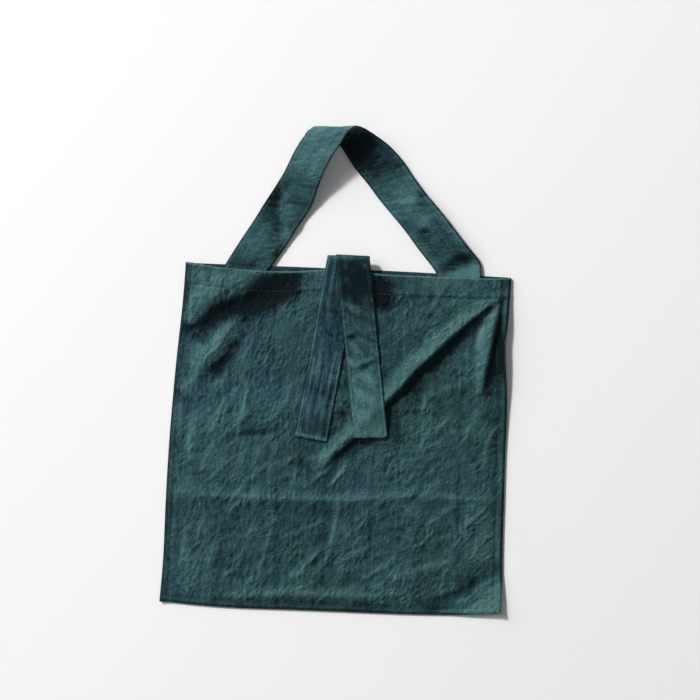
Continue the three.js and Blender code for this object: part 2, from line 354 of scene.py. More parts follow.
def clothFinish(name, colour, wearAndLight, deep, thread=0.62, streaks=0.35, patches=0.5, deeperEnd=None, paintedLitEnd=None):
    # Plain-woven cotton and linen, dyed after sewing and washed soft: a weave of single threads,
    # uneven yarn along and across, pale worn crests and patches where the dye took unevenly. Painted
    # shade deepens hollows and shaded places, and painted light brightens lit ones, carried with the wear.
    material = bpy.data.materials.new(name)
    material.use_nodes = True
    make = Nodes(material.node_tree)
    flat = make.node("ShaderNodeUVMap", uv_map="cloth")
    place = make.node("ShaderNodeTexCoord", output=3)
    # the wear, and the painted light and shade, that each piece carries
    wearAndShading = make.node("ShaderNodeAttribute", output=2, attribute_name="wearAndShading")

    across, along = (make.node("ShaderNodeSeparateXYZ", {"Vector": flat}, output) for output in (0, 1))
    warp, weft = ((way * (math.pi / (thread * mm))).maths("SINE") for way in (across, along))
    over = (warp * weft).maths("GREATER_THAN", 0.0)
    weave = over * warp.maths("ABSOLUTE") + (1 - over) * weft.maths("ABSOLUTE")

    warpYarn, weftYarn, bands = (make.noise(make.stretch(flat, *cloth[key]), 1.0, 2.0, 0.5)
                                 for key in ("warpScale", "weftScale", "bandScale"))
    yarn = warpYarn * cloth["warpAndWeft"][0] + weftYarn * cloth["warpAndWeft"][1]
    cloudy = make.noise(place, cloth["cloudScale"], 4.0, 0.55)
    mottle = make.noise(place, cloth["mottleScale"], 3.0, 0.6)
    flecks = make.noise(place, cloth["fleckScale"], 2.0, 0.7)
    steep, slant = (make.noise(make.grain(flat, turn, longer), scale, 2.0, 0.55)
                    for turn, longer, scale in (cloth["steep"], cloth["slant"]))
    rumpled = make.noise(flat, cloth["rumpleScale"], 2.0, 0.6)

    tone = 0.5 + (cloudy - 0.5) * (cloth["clouds"] * patches) + (mottle - 0.5) * cloth["mottle"]
    tone = tone + (yarn - 0.5) * (cloth["yarns"] * streaks) + (bands - 0.5) * (cloth["bands"] * streaks)
    tone = tone + wearAndShading * cloth["wearAndLight"] + (weave - 0.5) * cloth["weave"] + (flecks - 0.5) * cloth["flecks"]
    deeperBorder, litEndBorder = cloth["border"]
    if deeperEnd:
        # deeper colour towards one end, with a soft border
        start, end, strength = deeperEnd
        border = along + (cloudy - 0.5) * (deeperBorder * mm)
        tone = tone - strength * (1 - make.limits(border, start * mm, end * mm))
    if paintedLitEnd:
        # and paler towards the other, as painted light
        start, end, strength = paintedLitEnd
        border = along + (cloudy - 0.5) * (litEndBorder * mm)
        tone = tone + strength * make.limits(border, start * mm, end * mm)
    # the dye took bluer in some places than in others, most on the left
    bluer = make.noise(place, cloth["bluePatches"], 2.0, 0.5) - across * cloth["bluerToLeft"]
    blue = tuple(a * b for a, b in zip(colour, (*cloth["bluer"], 1)))
    dyed = make.mix(make.limits(bluer, *cloth["blueTones"]), colour, blue)
    shade = make.mix(make.limits(tone, *cloth["deepTones"]), deep, dyed)
    shade = make.mix(make.limits(tone, *cloth["wearAndLightTones"]), shade, wearAndLight)

    # thin lines between small facets, from where the noises pass their middle values
    sharp, soft = cloth["facetLines"]
    lines = (steep - 0.5).maths("ABSOLUTE") * sharp + (slant - 0.5).maths("ABSOLUTE") * soft
    much = make.limits(make.noise(place, cloth["crumpledPatches"], 2.0, 0.5), *cloth["crumpled"])
    crumple = (steep * cloth["facets"] + slant * cloth["facets"] - lines) * (cloth["leastCrumpled"] + much)
    crumple = crumple + rumpled * cloth["rumples"]
    fine = make.bump(*cloth["weaveBump"], weave)
    rough = cloth["roughness"] + (mottle - 0.5) * 0.16 + (weave - 0.5) * 0.05
    surface = make.node("ShaderNodeBsdfPrincipled", {
        "Base Color": shade, "Roughness": rough, "Normal": make.bump(*cloth["crumpleBump"], crumple, Normal=fine),
        **cloth["surface"]})
    make.node("ShaderNodeOutputMaterial", {"Surface": surface})
    return material


finishes = {
    "panel": clothFinish("teal panel cloth", (0.0242, 0.0705, 0.0755, 1), (0.073, 0.170, 0.168, 1),
                         (0.0012, 0.0056, 0.0075, 1)),
    "inside": clothFinish("teal cloth inside", (0.017, 0.051, 0.058, 1), (0.045, 0.112, 0.118, 1),
                          (0.007, 0.024, 0.029, 1)),
    "handle": clothFinish("teal handle cloth", (0.0265, 0.079, 0.087, 1), (0.080, 0.186, 0.192, 1),
                          (0.0012, 0.0052, 0.0070, 1)),
    "lowerTie": clothFinish("teal pleated tie cloth", (0.0175, 0.054, 0.066, 1), (0.056, 0.140, 0.150, 1),
                            (0.0022, 0.0100, 0.0145, 1), streaks=0.8, deeperEnd=(34, 96, 0.18)),
    "upperTie": clothFinish("teal tie cloth", (0.0230, 0.070, 0.075, 1), (0.080, 0.186, 0.186, 1),
                            (0.0022, 0.0090, 0.0125, 1), deeperEnd=(80, 105, 0.48), paintedLitEnd=(140, 225, 0.36)),
    "thread": clothFinish("teal sewing thread", (0.040, 0.102, 0.104, 1), (0.11, 0.22, 0.215, 1),
                          (0.018, 0.054, 0.060, 1), thread=0.2, patches=0.2),
}
say("finishes made")

# The bag as it lies: places on its edges, seen from above, and the heights of its layers.
bag = {
    "sides": ("leftEdge", "rightEdge"),  # their places run upwards, and the others' to the right
    "leftEdge": [(-190.6, -190.5), (-189.0, -144), (-189.2, -80), (-189.0, -40), (-188.2, 0), (-186.8, 38),
                 (-185.0, 78), (-183.0, 110), (-181.2, 140), (-179.6, 184), (-179.5, 196)],
    "rightEdge": [(188.0, -190), (188.4, -165), (186.6, -110), (185.6, -60), (184.6, -10), (184.2, 30), (182.6, 62),
                  (179.8, 90), (178.2, 112), (180.2, 138), (181.0, 165), (181.6, 188), (181.6, 196)],
    "bottomEdge": [(-191, -188.8), (-168, -190.9), (-135, -192.5), (-101, -193.0), (-60, -192.4), (0, -191.7),
                   (50, -191.3), (95, -190.6), (150, -188.2), (189, -184.4)],
    "backMouth": [(-181, 186.6), (-120, 187.2), (-60, 188.0), (0, 188.4), (70, 188.6), (130, 188.2), (183, 187.6)],
    "frontMouth": [(-181, 186.2), (-165, 184.8), (-146, 182.4), (-124, 180.9), (-96, 180.3), (-60, 181.8),
                   (-30, 184.4), (-8, 185.2), (14, 184.6), (34, 183.4), (70, 183.2), (120, 183.6), (160, 184.4),
                   (183, 186.0)],
    "mouthHeight": [(-181, 2.9), (-168, 5.6), (-150, 8.4), (-130, 8.8), (-108, 8.4), (-92, 8.2), (-74, 7.8),
                    (-58, 8.4), (-38, 10.0), (-24, 12.2), (0, 12.6), (22, 12.4), (38, 10.4), (56, 8.2), (84, 7.8),
                    (112, 8.6), (140, 8.0), (165, 6.0), (181, 2.9)],
    "mouthFade": 62,  # how far down the front the mouth's own heights reach
    "rimHeight": 2.7,  # of the front's upper side where it meets the seams
    "middleHeight": 8.2,
    "fall": 34,  # from the full height out to the seams
    "cloth": 0.6,
    "hemDepth": 21,
    "hemStep": 0.5,  # the doubled cloth of the hem stands up by this much
    "hemFloor": 4.4,  # and keeps clear of the back's hem
    "stitchIn": {"left": 6.2, "right": 9.6, "bottom": 7.6},
    "stitchShade": [0.3, 0.7, 0.35, 0.7],  # painted shade in each stitch line: left, right, bottom, mouth
    "padding": 0.45,  # the seam's turned-in cloth lifts the strip between the stitches and the edge
    "across": 374,  # about how wide the panels are, to count their squares
    "guess": (-189.0, 187.0),  # x at both ends of the bottom, to look up the other edges with
    "step": 1.22,  # the front's fine squares
    "coarse": 6,  # one square of its underside covers so many of them each way
    "inset": 1.9,  # the panels end this far inside the outline, behind the seams' edge
}

# Where the whole edge of the bag stands off the table: a place, a height and its reach each way.
lifts = [
    (187, 106, 7.6, 22, 54),
    (-181, 182, 2.4, 30, 30),
    (-191, -189, 1.2, 14, 14),
]

# The lower right corner is turned up along a line: two places on it, the height of the corner and
# how far the turn is rounded. Pale is painted light on the turned-up slope, which faces the lamp.
corner = {"line": ((189, -141), (138, -186)), "at": (189, -186), "height": 6.0, "round": 2, "pale": 1.75}

# Folds given one by one: a line of places, a height, and how far the flanks reach on the left and
# the right hand of someone who walks along it. A negative height is a valley.
folds = [
    # the long one from the right end of the mouth, under the ties and out below them
    ([(181, 172), (170, 165.5), (161, 158), (145, 146), (137.2, 139.1), (108.8, 111.2), (78.2, 78.9), (63.2, 58.9),
      (48.6, 44.0), (28.0, 18.9), (7.8, -4.6), (-12.9, -25.7), (-26, -38.7)], 7.6, 4.4, 30),
    ([(160, 143), (124, 110), (88, 75), (64, 46)], -2.0, 9, 5.0),
    ([(33, 30), (13, 7), (-5, -13), (-21, -29)], 2.4, 3.2, 9.0),
    # beside it, down the right side
    ([(172, 172), (164.5, 138), (162, 112), (158, 85), (153, 56)], 6.0, 4.6, 15),
    ([(166, 152), (155.5, 137), (151, 122), (149, 104)], 2.4, 9, 6, 0.6),
    ([(173, 166), (171, 146), (168.5, 125), (166.5, 111), (163, 94), (158, 72)], -2.4, 6, 4),
    # the left corner stands above a hollow beside the handle
    ([(-70, 200), (-94.4, 183.2), (-113.3, 172.9), (-133.2, 161.8), (-149.6, 149.1), (-166.5, 133.4),
      (-176, 112)], 8.6, 17, 34, 0.6),
    ([(-34, 190), (-60, 170), (-80, 158), (-99, 148.5), (-120, 139.5), (-139, 131), (-152, 114), (-158, 96)],
     -6.0, 24, 14, 0.5),
    ([(-146, 124), (-157, 118), (-168, 115.5), (-178, 116.3), (-194, 118)], -2.2, 4, 5),
    ([(-121, 130), (-132, 110), (-140, 95), (-149, 83), (-158, 71), (-167, 56), (-179, 42)], 4.9, 8, 18, 0.5),
    ([(-119, 104), (-124, 92), (-133, 79), (-147, 66)], -2.6, 9, 5),
    # where the bag was once folded in half and in three
    ([(-200, -71.8), (-137, -69.3), (-90, -69.2), (-40, -68.7), (15, -66.8), (56, -61.8), (97, -57.8),
      (139, -59.9), (196, -60.7)], 1.8, 13, 4.2),
    ([(61.9, 48), (70.1, -63.3), (71.8, -184)], -0.6, 2.4, 2.4),
    ([(-127.7, 136), (-120.2, 10.4), (-117.6, -152)], -0.4, 2.6, 2.6),
    ([(-12, -108), (-9.5, -190)], -0.4, 2.2, 2.2),
    ([(55.4, -128), (59.5, -188)], -0.5, 2.2, 2.2),
    # above the bottom seam
    ([(-128, -182), (-86, -177), (-40, -174), (9, -173.6), (56, -172.4), (88, -166)], 2.4, 15, 6),
    ([(96, -196), (132, -171), (160, -150), (200, -122)], -4.6, 26, 12),
    ([(58, -151), (100, -140), (142, -124)], 1.4, 11, 9),
    # small creases below the ties
    ([(15, -24), (2.6, -40.3), (-10, -56)], 2.0, 3.2, 8.0),
    ([(0, -27), (-14.1, -38.4), (-30, -50)], 1.6, 2.8, 6.0),
    ([(-42, -23), (-62, -28), (-84, -37.7), (-98, -52)], 1.1, 3.5, 6.0),
    ([(-28, -51), (-44, -60), (-62, -65)], 0.9, 3.0, 5.0),
    ([(35, -7), (24, -22), (19, -37)], 0.9, 3.0, 5.0),
    ([(98, -48), (88, -60), (76, -66)], -1.6, 4, 7),
    # the lower half
    ([(-97, -70), (-109, -77.6), (-120, -88)], 1.4, 2.6, 4.5),
    ([(-87, -103), (-101, -116)], 1.0, 2.0, 3.5),
    ([(-65, -83), (-71.9, -111.7), (-77.1, -136.9), (-82, -159)], 1.3, 2.6, 4.5),
    ([(-8, -89), (-33.1, -101.5), (-61, -113)], 1.1, 2.4, 4.0),
    ([(-10, -115), (-23.2, -134.2), (-36.4, -148.7), (-48, -159)], 1.7, 2.4, 5.5),
    ([(5, -66), (1.1, -94.3), (-3.2, -119.4), (-9.2, -139.1), (-28, -157)], 1.4, 2.6, 4.0),
    ([(-69, -147), (-83, -165)], 1.0, 2.2, 4.0),
    ([(47, -112), (26.1, -124.9), (-1, -140)], 1.0, 2.4, 3.8),
    ([(76, -121), (51.8, -141.6), (27, -159)], 1.1, 2.4, 4.0),
    ([(78, -129), (68, -155)], 0.9, 2.0, 3.0),
    ([(145, -93), (137.2, -107), (128, -122)], 1.5, 2.4, 5.0),
    ([(166, -68), (151.3, -82.8), (135, -97)], 1.2, 2.6, 4.5),
    ([(173, -97), (160, -112), (149, -131)], 1.1, 2.6, 4.5),
    ([(129, -69), (112, -84), (97, -93)], 1.0, 2.4, 4.0),
    ([(113, -95), (96, -112), (83, -119)], 0.9, 2.4, 4.0),
    ([(-140, -83), (-148, -104), (-152, -129)], 1.0, 2.6, 3.6),
    ([(-168, -91), (-164, -118), (-168, -147)], 0.9, 2.4, 3.2),
    ([(-130, -117), (-136, -140), (-134, -161)], 0.9, 2.4, 3.2),
    ([(-103, -131), (-112, -150), (-125, -167)], 1.0, 2.4, 3.6),
    # the upper half
    ([(95, 54), (91.5, 37.3), (86, 23)], 1.1, 2.4, 3.6),
    ([(53, 34.5), (71, 32.2), (95, 36.5)], -1.1, 2.6, 4.0),
    ([(121, 29), (104, 12), (91, 1)], 1.0, 2.6, 4.5),
    ([(150, 31), (138, 6), (134, -15)], 1.0, 3.0, 4.5),
    ([(173, 23), (162, -4), (164, -27)], 1.1, 3.0, 4.5),
    ([(-118, -1.7), (-90.8, 2.1), (-64, 7.2)], -1.5, 7.5, 5.0),
    ([(-170, -49), (-140, -44.5)], -1.3, 7.0, 5.5),
    ([(-158, 10), (-166, -10), (-164, -30)], 1.3, 5.0, 7.0),
    ([(-136, -9), (-146, -28), (-150, -51)], 1.1, 4.0, 6.0),
    ([(-95, 62), (-106, 42), (-108, 22)], 0.9, 3.0, 5.0),
    ([(-62, 98), (-76, 76), (-85, 64)], 0.8, 2.8, 4.5),
    ([(-58, 42), (-70, 22), (-86, 13)], 0.8, 2.8, 4.5),
    ([(39, 97), (55, 102)], 0.8, 2.0, 3.0),
    ([(-7, 28.6), (14, 27.8)], -0.6, 1.6, 2.2),
    ([(97, 151), (84, 138), (77, 121)], 0.9, 3.0, 4.5),
    ([(133, 169), (118, 156), (107, 149)], 0.8, 3.0, 4.5),
]

# Painted shade and painted light, laid like the folds: deeper colour where shade falls beside the
# folds and in their shadows, and paler colour where slopes face the lamp.
shades = [
    ([(-56, 186), (-68.7, 174), (-84.1, 163), (-101.8, 152), (-122, 145)], -1.5, 21, 13, 0.8),
    ([(-118, 146), (-138, 137), (-151, 129), (-161, 119), (-178, 115)], -1.4, 8, 10, 0.8),
    ([(-112, 158), (-88, 171), (-64, 180)], -0.7, 8, 20, 0.9),
    ([(-108, 162), (-78, 176), (-42, 186)], -0.6, 8, 18, 0.9),
    ([(-54, 185), (-49, 174), (-47, 158)], 0.55, 9, 8, 0.9),
    ([(-176, 176), (-150, 178), (-122, 186)], 0.5, 12, 16, 0.9),
    ([(34, 190), (36, 172), (39, 156), (44, 142)], -1.7, 13, 8, 0.8),
    ([(92, 180), (130, 181), (170, 178)], 0.55, 10, 12, 0.8),
    ([(172, 149), (170, 139), (168.5, 125), (167, 112), (164.5, 98.5), (161.5, 84), (155, 56)], -1.9, 8, 6, 0.7),
    ([(163, 176), (167, 167), (170, 158)], -1.1, 5, 5, 0.8),
    ([(182, 186), (179, 172), (176.5, 160), (175.5, 146), (175.5, 130), (176.5, 114)], 1.5, 5, 5, 0.8),
    ([(184, 118), (180, 96), (182, 60)], -0.5, 10, 12, 0.8),
    ([(158, 150), (154, 122), (150, 100), (144, 80)], 0.55, 9, 10, 0.8),
    ([(170, -62), (170, -120), (172, -165)], 0.45, 10, 12, 0.9),
    ([(-166, -38), (-160, -66)], 0.45, 14, 14, 0.9),
    ([(-62, -38), (-42, -40)], 0.4, 10, 10, 0.9),
    ([(112, -169), (148, -166)], 0.6, 9, 9, 0.9),
    ([(170, 82), (168, 58)], 0.7, 6, 6, 0.8),
    ([(163, 26), (147, 8)], 0.6, 8, 8, 0.9),
    ([(130, 34), (112, 14)], 0.5, 9, 9, 0.9),
    ([(-42, -32), (-44, -56)], 0.5, 12, 12, 1.0),
    ([(-38, -112), (-38, -140)], 0.45, 10, 10, 1.0),
    ([(-180, 42), (-180, -6)], 0.6, 5, 7, 0.9),
    ([(-121, 98), (-126, 88), (-135, 77), (-147, 66)], -0.6, 6, 4, 0.8),
    ([(-109, 116), (-115, 104), (-121, 92)], -0.75, 5, 7, 0.8),
    ([(-166, 36), (-154, 50), (-138, 56), (-124, 52)], 0.8, 7, 9, 0.8),
    ([(-160, 76), (-170, 62), (-178, 50)], -0.6, 5, 7, 0.8),
    ([(74, 14), (54, 6)], -0.7, 14, 12, 0.8),
    ([(-150, -34), (-104, -36), (-60, -46)], 0.4, 26, 26, 1.0),
    ([(-60, -160), (-20, -164)], 0.5, 18, 18, 1.0),
    # painted shade on the dark side of the long fold, and painted light on its lit side
    ([(167, 158), (150, 143), (134, 128)], -1.9, 2.6, 3, 0.7),
    ([(142, 136), (120, 115), (88, 83), (56, 48), (42, 32)], -2.3, 3.6, 4, 0.7),
    ([(17, 1), (12, -3.6), (4.6, -11.0), (-3.2, -18.7), (-9, -25)], -1.9, 3, 3, 0.7),
    ([(153, 140), (148, 124), (149, 104)], 0.4, 6, 5, 0.8),
    ([(98, 118), (84, 98)], -0.35, 14, 14, 0.9),
    ([(150, 160), (128, 140), (100, 114), (74, 88)], 0.45, 12, 14, 0.9),
    ([(84, -150), (120, -150), (160, -136)], -0.35, 20, 20, 0.8),
    ([(-140, 40), (-130, 10)], 0.35, 40, 40, 0.9),
    ([(-176, 160), (-176, 128)], -0.4, 8, 8, 0.9),
]

# Cloth that was washed and dried by hand: wavelength, height, direction in degrees, how much
# longer a wrinkle is than it is wide, whether it is more to the left (-1) or to the right (1) of
# the panel, and the seed of its random field.
crumples = [
    (54, 0.40, 25, 1.4, 0, 11),
    (27, 0.17, 50, 2.6, 0, 12),
    (18, 0.12, 74, 2.8, -0.8, 17),
    (17, 0.12, 18, 2.8, 0.8, 18),
    (11, 0.12, 52, 2.8, 0, 13),
    (8.4, 0.13, 72, 2.6, -0.6, 14),
    (8.0, 0.13, 24, 2.6, 0.6, 19),
    (5.2, 0.13, 78, 2.2, -0.3, 15),
    (4.2, 0.11, 38, 1.7, 0.3, 16),
]

# Short creases at random places. The ranges are in millimetres, directions in degrees.
creases = [
    {"count": 70, "length": (22, 62), "height": (0.45, 1.0), "flank": (1.9, 3.4), "direction": 47, "spread": 12,
     "seed": 21},
    {"count": 110, "length": (14, 46), "height": (0.38, 0.75), "flank": (1.7, 2.6), "direction": 82, "spread": 12,
     "seed": 22},
    {"count": 110, "length": (12, 40), "height": (0.36, 0.75), "flank": (1.7, 2.6), "direction": 12, "spread": 24,
     "seed": 23},
    {"count": 420, "length": (6, 20), "height": (0.30, 0.62), "flank": (1.5, 2.2), "direction": 52, "spread": 36,
     "seed": 24},
]

# Where such creases lie, how far they bend, and how often and how much they sink instead of rise.
strewn = {
    "across": (-178, 178), "bottom": -184, "up": 352, "gathered": 1.35,
    "bend": 0.14, "raised": 0.7, "sunk": -0.8, "flanks": (0.75, 1.5), "steepLeft": 0.4,
}


def edgeLine(name, at):
    # the place of an edge: x for the sides at a height y, y for the bottom and the mouth at a place x
    x, y = np.array(bag[name]).T
    return smoothLine(y, x, at) if name in bag["sides"] else smoothLine(x, y, at)


def cornerLift(x, y):
    # straight up from the turned line, with a rounded start
    (ax, ay), (bx, by) = corner["line"]

    def off(px, py):
        return ((py - ay) * (bx - ax) - (px - ax) * (by - ay)) / math.hypot(bx - ax, by - ay)

    full = off(*corner["at"])
    away = off(x, y) * np.sign(full)
    ramp = corner["round"] * np.logaddexp(0, away / corner["round"])
    return corner["height"] * ramp / abs(full)


def liftAt(x, y):
    return sum(height * spot(x - px, rx, y - py, ry) for px, py, height, rx, ry in lifts) + cornerLift(x, y)


def panelPlaces(mouth, count):
    # a square grid of places over one panel, from its bottom left corner
    s = np.linspace(0, 1, count)[None, :]
    t = np.linspace(0, 1, count)[:, None]
    guess = blendTo(*bag["guess"], s)
    y = blendTo(edgeLine("bottomEdge", guess) + bag["inset"], edgeLine(mouth, guess), t)
    x = blendTo(edgeLine("leftEdge", y) + bag["inset"], edgeLine("rightEdge", y) - bag["inset"], s)
    return x, y


def addFold(relief, x, y, line, height, left, right, crisp=0.2):
    # adds one fold, worked out only for the squares that it reaches
    reach = 4.5 * max(left, right) + 12
    low, high = np.min(line, axis=0) - reach, np.max(line, axis=0) + reach
    columns = np.nonzero((x[len(x) // 2] > low[0]) & (x[len(x) // 2] < high[0]))[0]
    rows = np.nonzero((y[:, y.shape[1] // 2] > low[1]) & (y[:, y.shape[1] // 2] < high[1]))[0]
    if len(columns) and len(rows):
        part = np.s_[rows[0]:rows[-1] + 1, columns[0]:columns[-1] + 1]
        relief[part] += foldHeight(x[part], y[part], line, height, left, right, crisp)


def addCreases(relief, x, y, kind):
    # creases of one kind at random places, more of them in the lower half
    pick = np.random.default_rng(kind["seed"])
    for _ in range(kind["count"]):
        place = np.array([pick.uniform(*strewn["across"]),
                          strewn["bottom"] + strewn["up"] * pick.uniform() ** strewn["gathered"]])
        turn = math.radians(kind["direction"] + kind["spread"] * pick.standard_normal())
        half = pick.uniform(*kind["length"]) / 2
        along = np.array([math.cos(turn), math.sin(turn)]) * half
        bend = np.array([-along[1], along[0]]) * pick.uniform(-strewn["bend"], strewn["bend"])
        line = [place - along, place + bend, place + along]
        height = pick.uniform(*kind["height"]) * (1 if pick.uniform() < strewn["raised"] else strewn["sunk"])
        flanks = pick.uniform(*kind["flank"]) * np.array(strewn["flanks"])
        left, right = flanks if pick.uniform() < strewn["steepLeft"] else flanks[::-1]
        addFold(relief, x, y, line, height, left, right)


# How the front is built up besides its folds. Reaches and wavelengths are in millimetres.
front = {
    "smoothed": 0.85,  # the share of its small relief that the turned-up corner loses
    "sides": (20, 90),  # x where the left's crumples give way to the right's, and how softly
    "peaked": 0.3,
    "creasedWaves": (6, 12),  # crumples of these wavelengths lie in facets
    "amount": (0.85, 0.6, 0.6),  # how strong crumples are: everywhere, in patches and by side
    "amountLimits": (0.1, 2.0), "patchWave": 70, "patchSeed": 40,
    "hemRamp": 1.4, "hemRelief": 0.72,  # the doubled cloth takes less relief
    "free": 12,  # from the sewn edges to where the relief is full
    "thread": 1.0, "pull": 0.35,  # the reach and the depth of a stitch line
    "pucker": 0.15, "puckerReach": 4.5, "puckerWave": 7.5, "puckerSeed": 31,
    "paddingRamp": 2.0,
    "hemFloorReach": (24, 38, 14),  # in from the sides, and down from the mouth with its ramp
    "floor": (1.75, 0.5, 10),  # over the seams: height, rise, and how far in it rises
    # wear on crests with painted shade in hollows, fine and broad; the pale mouth edge; painted shade along the
    # seams
    "fineWearAndShading": 0.55, "broadWearAndShading": 0.6, "broadReach": (3, 9), "mouthWear": (0.6, 1.6), "seamShade": (0.8, 1.0),
}


def frontRelief():
    step = bag["step"]
    x, y = panelPlaces("frontMouth", 1 + bag["coarse"] * round(bag["across"] / step / bag["coarse"]))
    fromLeft, fromRight = x - edgeLine("leftEdge", y), edgeLine("rightEdge", y) - x
    fromBottom, fromMouth = y - edgeLine("bottomEdge", x), edgeLine("frontMouth", x) - y
    fromSide = np.minimum(fromLeft, fromRight)
    upward = ease(fromBottom / bag["fall"])
    mouth = smoothLine(*np.array(bag["mouthHeight"]).T, x)
    full = blendTo(bag["rimHeight"], bag["middleHeight"], ease(fromSide / bag["fall"]) * upward)
    height = blendTo(full, mouth * upward, ease(1 - fromMouth / bag["mouthFade"]))
    laid, small, painted, pulled, stitchLineShade = (np.zeros_like(x) for _ in range(5))
    for fold in folds:
        addFold(laid, x, y, *fold)
    for kind in creases:
        addCreases(small, x, y, kind)
    # painted shade and painted light, laid like the folds
    for shade in shades:
        addFold(painted, x, y, *shade)
    # the turned-up corner is stretched smooth
    turned = cornerLift(x, y)
    smooth = 1 - front["smoothed"] * ease(turned / 1.5 - 0.4)
    relief = laid + small * smooth
    toRight = np.tanh((x - front["sides"][0]) / front["sides"][1])
    finest, coarsest = front["creasedWaves"]
    usual, patchy, sided = front["amount"]
    for wavelength, size, direction, stretch, place, seed in crumples:
        creased = finest < wavelength < coarsest
        field = size * wrinkleField(x.shape, step, wavelength, direction, stretch, seed, front["peaked"], creased)
        patches = wrinkleField(x.shape, step, front["patchWave"], 0, 1, seed + front["patchSeed"])
        amount = usual + patchy * patches + sided * place * toRight
        relief = relief + field * np.clip(amount, *front["amountLimits"]) * smooth
    hem = ease((bag["hemDepth"] - fromMouth) / front["hemRamp"] + 0.5)
    relief = relief * blendTo(1.0, front["hemRelief"], hem) + bag["hemStep"] * hem
    # nothing but the seams' own pucker reaches the sewn edges
    free = ease(fromSide / front["free"]) * ease(fromBottom / front["free"])
    height = height + relief * free
    # stitch lines pull the cloth down and pucker it, with painted shade in them, and the strips outside them are
    # padded
    pucker = wrinkleField(x.shape, step, front["puckerWave"], 0, 1, front["puckerSeed"])
    inside = bag["stitchIn"]
    lines = [fromLeft - inside["left"], fromRight - inside["right"], fromBottom - inside["bottom"],
             fromMouth - bag["hemDepth"]]
    for off, shade in zip(lines, bag["stitchShade"]):
        pulled = np.maximum(pulled, bell(off, front["thread"]))
        stitchLineShade = np.maximum(stitchLineShade, shade * bell(off, front["thread"]))
        height = height + front["pucker"] * pucker * bell(off, front["puckerReach"])
    padded = np.max([ease(0.5 - off / front["paddingRamp"]) for off in lines[:3]], axis=0)
    height = height - front["pull"] * pulled + bag["padding"] * padded
    # it stays above the back's hem and the seams
    inwards, down, ramp = front["hemFloorReach"]
    height = np.maximum(height, bag["hemFloor"] * ease(fromSide / inwards) * ease((down - fromMouth) / ramp))
    edge = np.minimum(fromSide, fromBottom) - bag["inset"]
    floor, rise, reach = front["floor"]
    height = np.maximum(height, floor + rise * ease(edge / reach)) + liftAt(x, y)
    # worn on crests and at the mouth's edge; painted shade in hollows, stitch lines and along the seams, the painted
    # shading laid like the folds, and painted light on the turned-up corner
    broad = front["broadWearAndShading"] * wearAndShadingOf(laid, step, *front["broadReach"])
    wearAndShading = front["fineWearAndShading"] * wearAndShadingOf(height, step) + broad - stitchLineShade
    (pale, paleReach), (deep, deepReach) = front["mouthWear"], front["seamShade"]
    wearAndShading = wearAndShading + pale * bell(fromMouth, paleReach) - deep * bell(edge, deepReach) + painted
    wearAndShading = wearAndShading + corner["pale"] * ease(turned / 1.2 - 0.3)
    return x, y, height, np.clip(wearAndShading, *wearAndShadingLimits)


frontX, frontY, frontZ, frontWearAndShading = frontRelief()


def sampleFront(x, y):
    # how high the front's upper side is at any place
    left, right = edgeLine("leftEdge", y) + bag["inset"], edgeLine("rightEdge", y) - bag["inset"]
    s = np.clip((x - left) / (right - left), 0, 1)
    guess = blendTo(*bag["guess"], s)
    bottom, mouth = edgeLine("bottomEdge", guess) + bag["inset"], edgeLine("frontMouth", guess)
    t = np.clip((y - bottom) / (mouth - bottom), 0, 1)
    return sampleGrid(frontZ, s * (frontZ.shape[1] - 1), t * (frontZ.shape[0] - 1))


def bendBy(piece, shares):
    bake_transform(piece)


def pointsOf(mesh):
    points = np.zeros(len(mesh.vertices) * 3, np.float32)
    mesh.vertices.foreach_get("co", points)
    return points.reshape(-1, 3)


def bendWithFront(piece):
    # 0 at the seams, which stay with the back, and 1 over the middle; bendBy doesn't use these shares
    # and only bakes the piece in place
    x, y, _ = pointsOf(piece.data).astype(float).T / mm
    half = np.minimum(x - edgeLine("leftEdge", y), edgeLine("rightEdge", y) - x)
    bendBy(piece, ease((half - 2) / 138))


def makeFront():
    coarse = bag["coarse"]
    top = np.stack([frontX, frontY, frontZ], -1)
    under = np.maximum(lowest(frontZ, coarse) - bag["cloth"], 1.0 + liftAt(frontX, frontY))
    under = np.stack([frontX, frontY, under], -1)[::coarse, ::coarse]
    return shell("front_cloth", top, under, top[..., :2], finishes["panel"], frontWearAndShading, coarse)


# The back lies flat, and only rumples a little over the table.
back = {"step": 4.0, "wrinkles": [(0.16, 36, 45, 1.5, 71, 0.3)], "clear": 0.12, "rise": 0.22}


def makeBack():
    x, y = panelPlaces("backMouth", 1 + round(bag["across"] / back["step"]))
    rumpled = rumple(x.shape, back["step"], back["wrinkles"])
    under = np.stack([x, y, back["clear"] + back["rise"] * ease(rumpled + 0.3) + liftAt(x, y)], -1)
    return shell("back_cloth", under + (0, 0, bag["cloth"]), under, under[..., :2], finishes["inside"])


frontCloth = makeFront()
backCloth = makeBack()
say("panels made")


